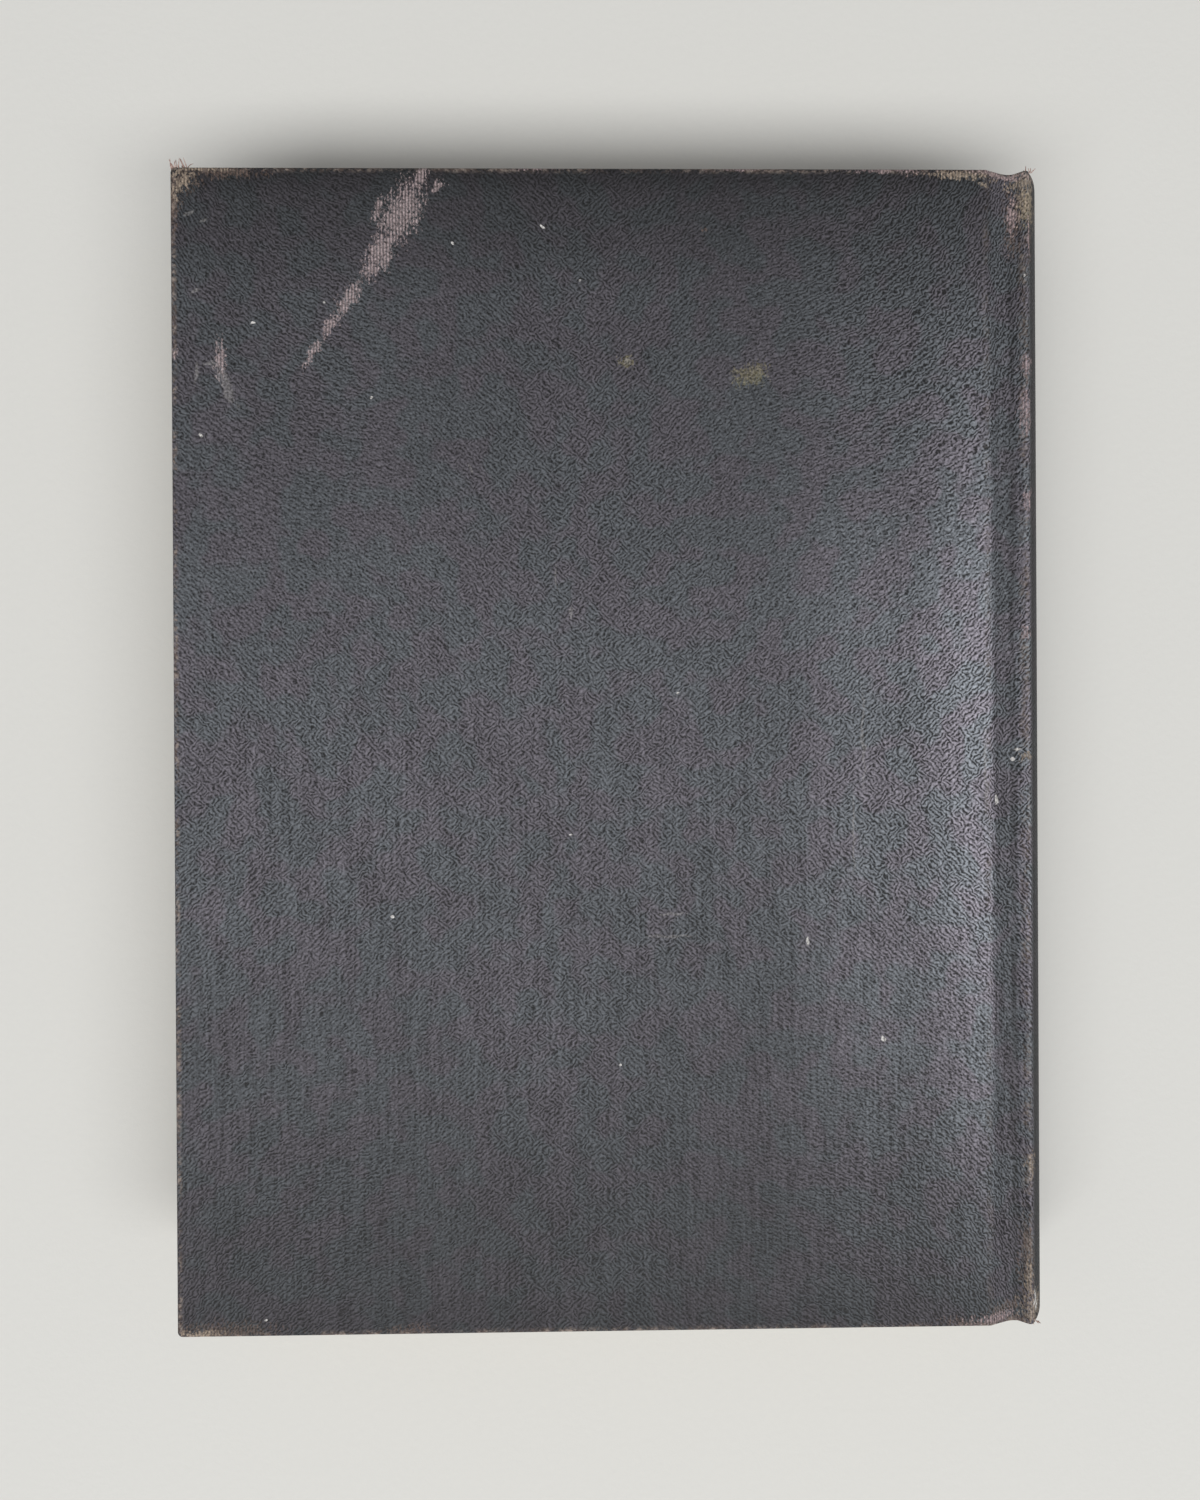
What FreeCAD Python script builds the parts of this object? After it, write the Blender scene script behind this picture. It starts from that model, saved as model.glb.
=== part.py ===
"""Hardback book, case bound in cloth, lying on its front cover with the spine at +X and the head at +Y.

Sizes are in millimetres. The origin is the centre of the book's outline, on the floor.
The back cover is the upper one. The front half is the mirror image of the back half in the
level half way up the book, so both are drawn from the same depths below the outer face.
"""

import FreeCAD, Part
import math
import os

# Cover, seen from above
COVER_HEIGHT = 250.0
BOARD_WIDTH = 175.0
JOINT_WIDTH = 6.8
SHOULDER_RUN = 2.2
SPINE_BULGE = 5.5

# Thicknesses
CLOTH_T = 0.35
BOARD_T = 2.5
PAPER_T = 0.15
STRIP_T = 0.5
BLOCK_T = 20.7

# Pages inside the cover
SQUARE = 3.0
FORE_EDGE_HOLLOW = 4.6
RIDGE_DROP = 0.5
BLOCK_SHOULDER_DROP = 2.3
ROOT_SETBACK = 0.2

# Clearances and gaps
LEAF_GAP = 0.15
HOLLOW_GAP = 0.25
HINGE_GAP = 0.4
CLOTH_HINGE_GAP = 0.9
MULL_END_GAP = 0.5
STRIP_END_GAP = 0.2

# Pasted and turned-in widths
TURN_IN = 15.0
MULL_FLANGE = 28.0
PASTEDOWN_INSET = 3.5

# Roundings
BOARD_CORNER_R = 0.8
CLOTH_EDGE_R = 0.5
CAP_DROP = 3.4
CAP_STEPS = 8

# Shape of the cloth in the joint
GROOVE_FLAT = 0.4
GROOVE_CURVE = 1.6
SLOPE_STEPS = 10
FLANK_STEPS = 8
ARC_BLEND_DEG = 5.0

# Depths of each layer's inner face below the outer face of a cover
D_CLOTH = CLOTH_T
D_BOARD = D_CLOTH + BOARD_T
D_LINING = D_BOARD + CLOTH_T
D_PASTE = D_LINING + PAPER_T
D_GAP = D_PASTE + LEAF_GAP
D_LEAF = D_GAP + PAPER_T
BOOK_T = BLOCK_T + 2 * D_LEAF
HALF_T = BOOK_T / 2
HALF_H = COVER_HEIGHT / 2

# Places along X, from the joint line at the foot of the shoulder
X_FORE = -(BOARD_WIDTH + JOINT_WIDTH)
X_BOARD = -JOINT_WIDTH
X_RIDGE = SHOULDER_RUN
X_SPINE = SHOULDER_RUN + SPINE_BULGE
X_PAGES = X_FORE + SQUARE
X_ROOT = -ROOT_SETBACK
X_SHIFT = -(X_FORE + X_SPINE) / 2

# Circle of the spine's outer face, through the two ridges and the middle of the back
RIDGE_V = HALF_T - RIDGE_DROP
SPINE_R = (RIDGE_V ** 2 + SPINE_BULGE ** 2) / (2 * SPINE_BULGE)
SPINE_CX = X_SPINE - SPINE_R
STRIP_IN = CLOTH_T + STRIP_T
TURN_IN_IN = STRIP_IN + CLOTH_T
MULL_OUT = TURN_IN_IN + HOLLOW_GAP
BLOCK_OUT = MULL_OUT + CLOTH_T
BLOCK_R = SPINE_R - BLOCK_OUT
MULL_R = SPINE_R - MULL_OUT
SHOULDER_V = HALF_T - BLOCK_SHOULDER_DROP
X_SHOULDER = SPINE_CX + math.sqrt(BLOCK_R ** 2 - SHOULDER_V ** 2)
HALF_BLOCK = BLOCK_T / 2
HALF_PAGES = HALF_H - SQUARE
HALF_MULL = HALF_H - TURN_IN - MULL_END_GAP


def vec(x, v, y=0.0):
    """Point from the place along X, the height above the book's middle level, and the place along Y."""
    return FreeCAD.Vector(x + X_SHIFT, y, v + HALF_T)


def save(shape, name):
    """Writes one node."""
    shape.exportStep("parts/" + name + ".step")


def extrude(face, y0, y1):
    """Solid of a face drawn at y = 0, from y0 to y1."""
    moved = face.copy()
    moved.translate(FreeCAD.Vector(0, y0, 0))
    return moved.extrude(FreeCAD.Vector(0, y1 - y0, 0))


def both_ends(face, y0, y1):
    """The same solid at the head and at the tail."""
    return [extrude(face, y0, y1), extrude(face, -y1, -y0)]


def polygon(points):
    """Face inside straight lines through (x, height) points."""
    corners = [vec(x, v) for x, v in points]
    return Part.Face(Part.makePolygon(corners + corners[:1]))


def slab(x0, x1, y0, y1, d0, d1, side):
    """Box between two depths below a cover's outer face. Side is 1 for the back and -1 for the front."""
    v0, v1 = sorted((side * (HALF_T - d0), side * (HALF_T - d1)))
    return Part.makeBox(x1 - x0, y1 - y0, v1 - v0, vec(x0, v0, y0))


def circle_point(radius, angle):
    """Point of a circle round the spine's centre, as (x, height)."""
    return SPINE_CX + radius * math.cos(angle), radius * math.sin(angle)


def ease(start, start_slope, end, end_slope, steps):
    """Points of a smooth cubic from start to end, without the start. Slopes are vectors."""
    points = []
    for i in range(1, steps + 1):
        t = i / steps
        h0 = 2 * t ** 3 - 3 * t ** 2 + 1
        h1 = t ** 3 - 2 * t ** 2 + t
        h2 = 3 * t ** 2 - 2 * t ** 3
        h3 = t ** 3 - t ** 2
        points.append(tuple(
            h0 * a + h1 * sa + h2 * b + h3 * sb
            for a, sa, b, sb in zip(start, start_slope, end, end_slope)
        ))
    return points


def ridge_angle():
    """Angle above the middle of the spine at which the rounding of the ridge meets the circle."""
    return math.asin(RIDGE_V / SPINE_R) - math.radians(ARC_BLEND_DEG)


def cloth_path():
    """Outer face of the cloth from the lip beside the back board, over the ridge, to the circle."""
    lip = -(JOINT_WIDTH - CLOTH_HINGE_GAP)
    groove = (-GROOVE_FLAT, HALF_T - BOARD_T)
    upper = []
    for i in range(SLOPE_STEPS):
        x = lip + (groove[0] - lip) * i / SLOPE_STEPS
        share = (x + JOINT_WIDTH) / (groove[0] + JOINT_WIDTH)
        depth = BOARD_T * (1 - (1 - share) ** GROOVE_CURVE)
        upper.append((x, HALF_T - depth))
    upper.append(groove)
    run = X_RIDGE - groove[0]
    ridge = (X_RIDGE, RIDGE_V)
    upper += ease(groove, (run, 0), ridge, (run, 0), FLANK_STEPS)
    top = ridge_angle()
    joined = circle_point(SPINE_R, top)
    step = math.dist(ridge, joined)
    slope = (step * math.sin(top), -step * math.cos(top))
    return upper + ease(ridge, (step, 0), joined, slope, FLANK_STEPS // 2)


def inset(path, distance):
    """Path moved towards the pages by a distance, along its own normals. It ends on the inner circle."""
    moved = []
    for i, (x, v) in enumerate(path[:-1]):
        ax, av = path[max(i - 1, 0)]
        bx, bv = path[i + 1]
        length = math.hypot(bx - ax, bv - av)
        nx, nv = (bv - av) / length, -(bx - ax) / length
        moved.append((x + nx * distance, v + nv * distance))
    moved.append(circle_point(SPINE_R - distance, ridge_angle()))
    return moved


def spline(points):
    """Smooth edge through (x, height) points."""
    curve = Part.BSplineCurve()
    curve.interpolate([vec(x, v) for x, v in points])
    return curve.toShape()


def arc(radius, angle):
    """Edge of a circle round the spine's centre, from the angle above the middle to the one below."""
    points = [circle_point(radius, a) for a in (angle, 0, -angle)]
    return Part.Arc(*[vec(x, v) for x, v in points]).toShape()


def cloth_band():
    """Section of the cloth from lip to lip, between its outer and inner face."""
    outer = cloth_path()
    inner = inset(outer, CLOTH_T)
    edges = [arc(SPINE_R, ridge_angle()), arc(SPINE_R - CLOTH_T, ridge_angle())]
    for side in (1, -1):
        for path in (outer, inner):
            edges.append(spline([(x, side * v) for x, v in path]))
        ends = [(x, side * v) for x, v in (outer[0], inner[0])]
        edges.append(Part.makeLine(vec(*ends[0]), vec(*ends[1])))
    return Part.Face(Part.Wire(Part.__sortEdges__(edges)))


def ring(outer_inset, inner_inset, top):
    """Face between two circles of the spine, cut off level at a height above and below the middle."""
    edges = []
    ends = []
    for radius in (SPINE_R - outer_inset, SPINE_R - inner_inset):
        angle = math.asin(top / radius)
        edges.append(arc(radius, angle))
        ends.append((circle_point(radius, angle), circle_point(radius, -angle)))
    for (x0, v0), (x1, v1) in zip(ends[0], ends[1]):
        edges.append(Part.makeLine(vec(x0, v0), vec(x1, v1)))
    return Part.Face(Part.Wire(Part.__sortEdges__(edges)))


def strip_top():
    """Height of the strip's edges above the middle, just inside the rounding of the ridge."""
    return (SPINE_R - TURN_IN_IN) * math.sin(ridge_angle()) - STRIP_END_GAP


def text_block():
    """Pages with a rounded back, shoulders at the joints and a hollow fore-edge."""
    edges = [
        Part.makeLine(vec(X_PAGES, HALF_BLOCK), vec(X_ROOT, HALF_BLOCK)),
        Part.makeLine(vec(X_ROOT, HALF_BLOCK), vec(X_SHOULDER, SHOULDER_V)),
        arc(BLOCK_R, math.asin(SHOULDER_V / BLOCK_R)),
        Part.makeLine(vec(X_SHOULDER, -SHOULDER_V), vec(X_ROOT, -HALF_BLOCK)),
        Part.makeLine(vec(X_ROOT, -HALF_BLOCK), vec(X_PAGES, -HALF_BLOCK)),
        Part.Arc(
            vec(X_PAGES, -HALF_BLOCK),
            vec(X_PAGES + FORE_EDGE_HOLLOW, 0),
            vec(X_PAGES, HALF_BLOCK),
        ).toShape(),
    ]
    return extrude(Part.Face(Part.Wire(edges)), -HALF_PAGES, HALF_PAGES)


def flank_points(offset):
    """Foot and top of the shoulder's flank, moved out by an offset along its normal."""
    run = X_SHOULDER - X_ROOT
    rise = SHOULDER_V - HALF_BLOCK
    length = math.hypot(run, rise)
    dx, dv = -rise / length * offset, run / length * offset
    return (X_ROOT + dx, HALF_BLOCK + dv), (X_SHOULDER + dx, SHOULDER_V + dv)


def on_line(a, b, v):
    """Place along X where the line through two points is at a height."""
    return a[0] + (b[0] - a[0]) * (v - a[1]) / (b[1] - a[1])


def spine_mull():
    """Mull over the back of the pages, with a lip into each joint."""
    lip = -(JOINT_WIDTH - HINGE_GAP)
    low, high = HALF_T - D_LINING, HALF_T - D_BOARD
    in_foot, in_top = flank_points(0)
    out_foot, out_top = flank_points(CLOTH_T)
    in_x = on_line(in_foot, in_top, low)
    out_x = on_line(out_foot, out_top, high)
    out_angle = math.asin(out_top[1] / MULL_R)
    arc_x, arc_v = circle_point(MULL_R, out_angle)
    half = [(in_x, low), (lip, low), (lip, high), (out_x, high), out_top, (arc_x, arc_v)]
    upper = [vec(*in_top)] + [vec(x, v) for x, v in half]
    lower = [vec(in_top[0], -in_top[1])] + [vec(x, -v) for x, v in half]
    edges = [Part.makePolygon(upper), Part.makePolygon(lower)]
    edges.append(arc(MULL_R, out_angle))
    edges.append(arc(BLOCK_R, math.asin(SHOULDER_V / BLOCK_R)))
    loose = [e for shape in edges for e in shape.Edges]
    return extrude(Part.Face(Part.Wire(Part.__sortEdges__(loose))), -HALF_MULL, HALF_MULL)


def beyond_cap(end, margin):
    """Solid outside the rounded cap at the head (1) or tail (-1), for a piece that lies a margin inside."""
    across = SPINE_BULGE - margin
    along = CAP_DROP - margin
    foot = HALF_H - CAP_DROP
    outline = []
    for i in range(CAP_STEPS + 1):
        turn = math.pi / 2 * i / CAP_STEPS
        outline.append((X_RIDGE + across * math.sin(turn), foot + along * math.cos(turn)))
    far_x = X_SPINE + CAP_DROP
    far_y = HALF_H + CAP_DROP
    outline += [(far_x, foot), (far_x, far_y), (X_RIDGE, far_y)]
    corners = [vec(x, -HALF_T, end * y) for x, y in outline]
    face = Part.Face(Part.makePolygon(corners + corners[:1]))
    return face.extrude(FreeCAD.Vector(0, 0, BOOK_T))


def round_caps(shape, margin):
    """Shape with the spine's two ends rounded off."""
    return shape.cut(beyond_cap(1, margin)).cut(beyond_cap(-1, margin))


def spine_strip():
    """Card strip that stiffens the cloth of the spine."""
    end = HALF_H - CLOTH_T
    return round_caps(extrude(ring(CLOTH_T, STRIP_IN, strip_top()), -end, end), CLOTH_T)


def spine_cloth():
    """Cloth of the joints and spine, turned in over the strip's rounded ends at head and tail."""
    path = cloth_path()
    parts = [extrude(cloth_band(), -HALF_H, HALF_H)]
    end = HALF_H - CLOTH_T
    turned = ring(STRIP_IN, TURN_IN_IN, strip_top())
    capped = ring(CLOTH_T / 2, TURN_IN_IN, strip_top())
    parts += both_ends(turned, HALF_H - TURN_IN, HALF_H)
    parts += both_ends(capped, end - CAP_DROP, HALF_H)
    lip = -(JOINT_WIDTH - HINGE_GAP)
    low, high = HALF_T - D_LINING, HALF_T - D_BOARD
    foot, top = flank_points(CLOTH_T)
    foot_x = on_line(foot, top, high)
    ridge_steps = SLOPE_STEPS + FLANK_STEPS + FLANK_STEPS // 2
    wall = [(x, v - CLOTH_T / 2) for x, v in path[: ridge_steps + 1]]
    overlap_angle = ridge_angle() - 2 * math.radians(ARC_BLEND_DEG)
    wall.append(circle_point(SPINE_R - CLOTH_T, overlap_angle))
    wall.append(circle_point(SPINE_R - TURN_IN_IN, overlap_angle))
    wall.append((X_ROOT, high - CLOTH_T / 2))
    wall.append((wall[0][0], high - CLOTH_T / 2))
    for side in (1, -1):
        flat = [(lip, low), (X_ROOT, low), (foot_x, high), (lip, high)]
        parts += both_ends(polygon([(x, side * v) for x, v in flat]), HALF_H - TURN_IN, HALF_H)
        parts += both_ends(polygon([(x, side * v) for x, v in wall]), end, HALF_H)
    joined = round_caps(parts[0].multiFuse(parts[1:]), 0)
    return joined.cut(spine_strip()).removeSplitter()


def flyleaf(side):
    """Free leaf on the pages, with its fold and its strip under the joint."""
    lip = -(JOINT_WIDTH - HINGE_GAP)
    fold = X_ROOT - PAPER_T
    leaf = slab(X_PAGES, X_ROOT, -HALF_PAGES, HALF_PAGES, D_GAP, D_LEAF, side)
    back = slab(fold, X_ROOT, -HALF_PAGES, HALF_PAGES, D_LINING, D_LEAF, side)
    under = slab(lip, X_ROOT, -HALF_PAGES, HALF_PAGES, D_LINING, D_PASTE, side)
    return leaf.multiFuse([back, under]).removeSplitter()


def board_shape(x0, x1, half_y, d0, d1, side, corner_r):
    """Box with its two fore-edge corners rounded."""
    box = slab(x0, x1, -half_y, half_y, d0, d1, side)
    corners = [
        e for e in box.Edges
        if abs(e.Vertexes[0].X - e.Vertexes[1].X) < CLOTH_T / 2
        and abs(e.Vertexes[0].Y - e.Vertexes[1].Y) < CLOTH_T / 2
        and e.CenterOfMass.x < 0
    ]
    return box.makeFillet(corner_r, corners)


def board(side):
    """Cover board."""
    return board_shape(
        X_FORE + CLOTH_T, X_BOARD, HALF_H - CLOTH_T, D_CLOTH, D_BOARD, side, BOARD_CORNER_R
    )


def cover_cloth(side):
    """Cloth over one board, round its three free edges and turned in on the inner face."""
    end = X_BOARD + HINGE_GAP
    outer = board_shape(
        X_FORE, X_BOARD, HALF_H, 0, D_LINING, side, BOARD_CORNER_R + CLOTH_T
    )
    face_z = vec(0, side * HALF_T).z
    rim = [
        e for e in outer.Edges
        if all(abs(v.Z - face_z) < CLOTH_T / 2 for v in e.Vertexes)
        and e.CenterOfMass.x < X_BOARD + X_SHIFT - CLOTH_T
    ]
    outer = outer.makeFillet(CLOTH_EDGE_R, rim)
    window = slab(
        X_FORE + TURN_IN, X_BOARD, -HALF_H + TURN_IN, HALF_H - TURN_IN, D_BOARD, D_LINING, side
    )
    overlap = slab(X_BOARD, end, -HALF_H + CLOTH_EDGE_R, HALF_H - CLOTH_EDGE_R, 0, D_CLOTH, side)
    return outer.cut(board(side)).cut(window).fuse(overlap).removeSplitter()


def mull_flange(side):
    """Part of the mull glued to a board."""
    return slab(X_BOARD - MULL_FLANGE, X_BOARD, -HALF_MULL, HALF_MULL, D_BOARD, D_LINING, side)


def pastedown(side):
    """Leaf pasted over the turned-in cloth and the mull, and down on to the board between them."""
    x0, half_y = X_FORE + PASTEDOWN_INSET, HALF_H - PASTEDOWN_INSET
    in_x0, in_x1, in_y = X_FORE + TURN_IN, X_BOARD - MULL_FLANGE, HALF_H - TURN_IN
    rim = slab(x0, X_BOARD, -half_y, half_y, D_LINING, D_PASTE, side)
    well = slab(in_x0, in_x1, -in_y, in_y, D_BOARD, D_PASTE, side)
    hollow = slab(
        in_x0 + PAPER_T, in_x1 - PAPER_T, -in_y + PAPER_T, in_y - PAPER_T,
        D_BOARD + PAPER_T, D_PASTE, side,
    )
    return rim.fuse(well).cut(hollow).removeSplitter()


def main():
    """Builds and writes every node."""
    os.makedirs("parts", exist_ok=True)
    save(text_block(), "text_block")
    save(spine_mull(), "spine_mull")
    save(spine_strip(), "spine_strip")
    save(spine_cloth(), "spine_cloth")
    for side, name in ((1, "back"), (-1, "front")):
        save(flyleaf(side), name + "_flyleaf")
        save(board(side), name + "_board")
        save(cover_cloth(side), name + "_cloth")
        save(mull_flange(side), name + "_mull_flange")
        save(pastedown(side), name + "_pastedown")


main()
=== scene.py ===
"""Cloth-bound hardback book lying on its front cover, dressed on its CAD frame.

Sizes are written in millimetres. Sections of the book are drawn as (x, v): x is measured from the joint
line at the foot of the shoulder, and v is the height above the middle level of the book.
"""

import logging
import math
from dataclasses import dataclass, field
from enum import Enum
from functools import reduce
from typing import Any, Sequence

import bmesh
import bpy
import numpy as np
from mathutils import Matrix, Vector


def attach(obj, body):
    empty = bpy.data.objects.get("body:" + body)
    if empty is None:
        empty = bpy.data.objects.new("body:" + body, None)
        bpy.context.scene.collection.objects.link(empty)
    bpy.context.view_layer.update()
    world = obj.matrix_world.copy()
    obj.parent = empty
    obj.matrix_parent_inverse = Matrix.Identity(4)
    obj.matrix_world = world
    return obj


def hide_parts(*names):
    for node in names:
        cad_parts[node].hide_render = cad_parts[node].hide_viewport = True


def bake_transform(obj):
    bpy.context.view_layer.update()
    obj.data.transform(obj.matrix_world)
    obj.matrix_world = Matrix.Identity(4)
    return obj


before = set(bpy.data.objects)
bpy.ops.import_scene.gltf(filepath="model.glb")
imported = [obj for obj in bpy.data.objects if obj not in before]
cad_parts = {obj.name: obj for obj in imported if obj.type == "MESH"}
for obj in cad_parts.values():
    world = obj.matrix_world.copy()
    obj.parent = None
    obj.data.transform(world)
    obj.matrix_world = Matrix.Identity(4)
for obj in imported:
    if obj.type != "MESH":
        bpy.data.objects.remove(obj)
log = logging.getLogger("book")
MM = 0.001
WELD = 0.0005  # millimetres below which points become one
TINY = 1e-9  # keeps a divisor above 0
SEED_SHIFT = (1.0, 0.7, 1.3)  # way in which a seed moves a pattern


class Side(Enum):
    """The two covers. The value is the sign of the height."""

    BACK = 1
    FRONT = -1

    @property
    def label(self) -> str:
        """Name that the pieces of this side start with."""
        return self.name.lower()


@dataclass(frozen=True)
class BookSizes:
    """Sizes that the whole book shares, in millimetres."""

    cover_height: float = 250.0
    board_width: float = 175.0
    joint_width: float = 6.8
    shoulder_run: float = 2.2
    spine_bulge: float = 5.5
    cloth: float = 0.35
    board: float = 2.5
    paper: float = 0.15
    strip: float = 0.5
    block: float = 20.7
    square: float = 3.0
    fore_hollow: float = 4.6
    ridge_drop: float = 0.5
    shoulder_drop: float = 2.3
    root_setback: float = 0.2
    leaf_gap: float = 0.15
    hollow_gap: float = 0.25
    turn_in: float = 15.0
    mull_flange: float = 28.0
    pastedown_inset: float = 3.5

    @property
    def lining_depth(self) -> float:
        """Depth of the turned-in cloth's face below the outer face of a cover."""
        return 2 * self.cloth + self.board

    @property
    def half_thickness(self) -> float:
        """Half of the book's thickness."""
        return self.block / 2 + self.lining_depth + 2 * self.paper + self.leaf_gap

    @property
    def half_height(self) -> float:
        """Half of the cover's height."""
        return self.cover_height / 2

    @property
    def fore(self) -> float:
        """Place of the covers' fore-edge."""
        return -(self.board_width + self.joint_width)

    @property
    def spine(self) -> float:
        """Place of the outermost line of the spine."""
        return self.shoulder_run + self.spine_bulge

    @property
    def shift(self) -> float:
        """Place of the joint line along X."""
        return -(self.fore + self.spine) / 2

    @property
    def ridge_height(self) -> float:
        """Height of the shoulder's ridge."""
        return self.half_thickness - self.ridge_drop

    @property
    def spine_radius(self) -> float:
        """Radius of the spine's outer face."""
        return (self.ridge_height ** 2 + self.spine_bulge ** 2) / (2 * self.spine_bulge)

    @property
    def spine_centre(self) -> float:
        """Place of the spine's centre line."""
        return self.spine - self.spine_radius

    @property
    def turn_in_radius(self) -> float:
        """Radius of the turned-in cloth's face inside the spine."""
        return self.spine_radius - 2 * self.cloth - self.strip

    @property
    def block_radius(self) -> float:
        """Radius of the back of the pages."""
        return self.turn_in_radius - self.hollow_gap - self.cloth

    @property
    def shoulder_height(self) -> float:
        """Height of the shoulder of the pages."""
        return self.half_thickness - self.shoulder_drop

    @property
    def shoulder_place(self) -> float:
        """Place of the shoulder of the pages."""
        return self.spine_centre + math.sqrt(self.block_radius ** 2 - self.shoulder_height ** 2)


BOOK = BookSizes()


def smooth(x: np.ndarray) -> np.ndarray:
    """Smooth step 3x² - 2x³ of values held between 0 and 1.

    Args:
        x: Values.

    Returns:
        Eased values.
    """
    x = np.clip(x, 0.0, 1.0)
    return x * x * (3 - 2 * x)


def ease(start: Sequence[float], start_slope: Sequence[float], end: Sequence[float],
         end_slope: Sequence[float], steps: int) -> np.ndarray:
    """Cubic from start to end with given slopes at both, without its first point.

    Args:
        start: First point.
        start_slope: Slope there.
        end: Last point.
        end_slope: Slope there.
        steps: Number of points.

    Returns:
        Points, one a row.
    """
    t = np.arange(1, steps + 1)[:, None] / steps
    weights = (2 * t ** 3 - 3 * t ** 2 + 1, t ** 3 - 2 * t ** 2 + t, 3 * t ** 2 - 2 * t ** 3, t ** 3 - t ** 2)
    ends = (start, start_slope, end, end_slope)
    return sum(w * np.asarray(e, float) for w, e in zip(weights, ends))


def travelled(points: np.ndarray) -> np.ndarray:
    """Length along a line of points, from its first.

    Args:
        points: Points, one a row.

    Returns:
        Length at each point.
    """
    steps = np.linalg.norm(np.diff(points, axis=0), axis=1)
    return np.concatenate([[0.0], np.cumsum(steps)])


def even(points: np.ndarray, spacing: float) -> np.ndarray:
    """Points along a line again, an even distance apart.

    Args:
        points: Points, one a row.
        spacing: Wanted distance.

    Returns:
        New points, with the same two ends.
    """
    length = travelled(points)
    count = max(2, int(math.ceil(length[-1] / spacing)) + 1)
    at = np.linspace(0, length[-1], count)
    return np.stack([np.interp(at, length, column) for column in points.T], axis=1)


class Surface:
    """Grid of points in the book's section frame that becomes a mesh in metres."""

    def __init__(self, name: str, x: np.ndarray, y: np.ndarray, v: np.ndarray) -> None:
        """Keeps the grid.

        Args:
            name: Name of the piece.
            x: Places from the joint line.
            y: Places along the spine.
            v: Heights above the middle level.
        """
        self.name = name
        self.points = np.stack(np.broadcast_arrays(x, y, v), axis=-1).astype(float)

    @staticmethod
    def quads(rows: int, columns: int, closed: bool = False) -> np.ndarray:
        """Corner numbers of the faces of a grid.

        Args:
            rows: Points along the first way.
            columns: Points along the second way.
            closed: Whether the first way closes on itself.

        Returns:
            Four numbers a face.
        """
        index = np.arange(rows * columns).reshape(rows, columns)
        if closed:
            index = np.vstack([index, index[:1]])
        a, b, c, d = index[:-1, :-1], index[1:, :-1], index[1:, 1:], index[:-1, 1:]
        return np.stack([a, b, c, d], axis=-1).reshape(-1, 4)

    @staticmethod
    def metres(points: np.ndarray) -> np.ndarray:
        """Section points as places in the CAD frame, in metres."""
        return (points + np.array([BOOK.shift, 0.0, BOOK.half_thickness])) * MM

    @classmethod
    def mesh(cls, name: str, points: np.ndarray, faces: np.ndarray,
             extras: dict[str, np.ndarray] | None = None, flip: bool = False) -> bpy.types.Object:
        """Object of a list of points and faces, with a rest place and other values kept on its points.

        Points nearer than the weld distance become one.

        Args:
            name: Name of the piece.
            points: Places in the section frame, one a row.
            faces: Corner numbers, one face a row.
            extras: Vectors kept on the points, by name.
            flip: Whether the faces are turned over.

        Returns:
            The object, at the origin.
        """
        mesh = bpy.data.meshes.new(name)
        corners = faces[:, ::-1] if flip else faces
        mesh.from_pydata(cls.metres(points).tolist(), [], corners.tolist())
        kept = {"rest": points} | (extras or {})
        for label, values in kept.items():
            layer = mesh.attributes.new(label, "FLOAT_VECTOR", "POINT")
            layer.data.foreach_set("vector", np.ascontiguousarray(values, np.float32).ravel())
        work = bmesh.new()
        work.from_mesh(mesh)
        bmesh.ops.remove_doubles(work, verts=work.verts, dist=WELD * MM)
        bmesh.ops.dissolve_degenerate(work, edges=work.edges, dist=WELD * MM / 10)
        work.to_mesh(mesh)
        work.free()
        mesh.polygons.foreach_set("use_smooth", [True] * len(mesh.polygons))
        mesh.update()
        piece = bpy.data.objects.new(name, mesh)
        bpy.context.scene.collection.objects.link(piece)
        return piece

    def build(self, flip: bool, weave: np.ndarray | None = None) -> bpy.types.Object:
        """Mesh of the grid.

        Args:
            flip: Whether the faces are turned over.
            weave: Place of each point on the flat sheet, in millimetres.

        Returns:
            The object.
        """
        rows, columns = self.points.shape[:2]
        extras = {} if weave is None else {"weave": weave.reshape(-1, 3)}
        return self.mesh(self.name, self.points.reshape(-1, 3), self.quads(rows, columns), extras, flip)


def thicken(piece: bpy.types.Object, thickness: float) -> bpy.types.Object:
    """Gives a sheet its thickness, behind the face that was drawn.

    Args:
        piece: The sheet.
        thickness: Thickness in millimetres.

    Returns:
        The same sheet.
    """
    solid = piece.modifiers.new("thickness", "SOLIDIFY")
    solid.thickness = thickness * MM
    solid.offset = -1.0
    solid.use_even_offset = False
    return piece


def thin_between(piece: bpy.types.Object, low: float, high: float, least: float) -> None:
    """Lets a thickened sheet be thinner between two places along X, where it bends sharply.

    Args:
        piece: The sheet.
        low: Place where the thin stretch starts, from the joint line.
        high: Place where it ends.
        least: Share of the thickness that is left there.
    """
    places = np.empty(len(piece.data.vertices) * 3, np.float32)
    piece.data.vertices.foreach_get("co", places)
    x = places.reshape(-1, 3)[:, 0] / MM - BOOK.shift
    group = piece.vertex_groups.new(name="full_thickness")
    group.add(np.flatnonzero((x < low) | (x > high)).tolist(), 1.0, "REPLACE")
    solid = piece.modifiers["thickness"]
    solid.vertex_group = group.name
    solid.thickness_vertex_group = least


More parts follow.
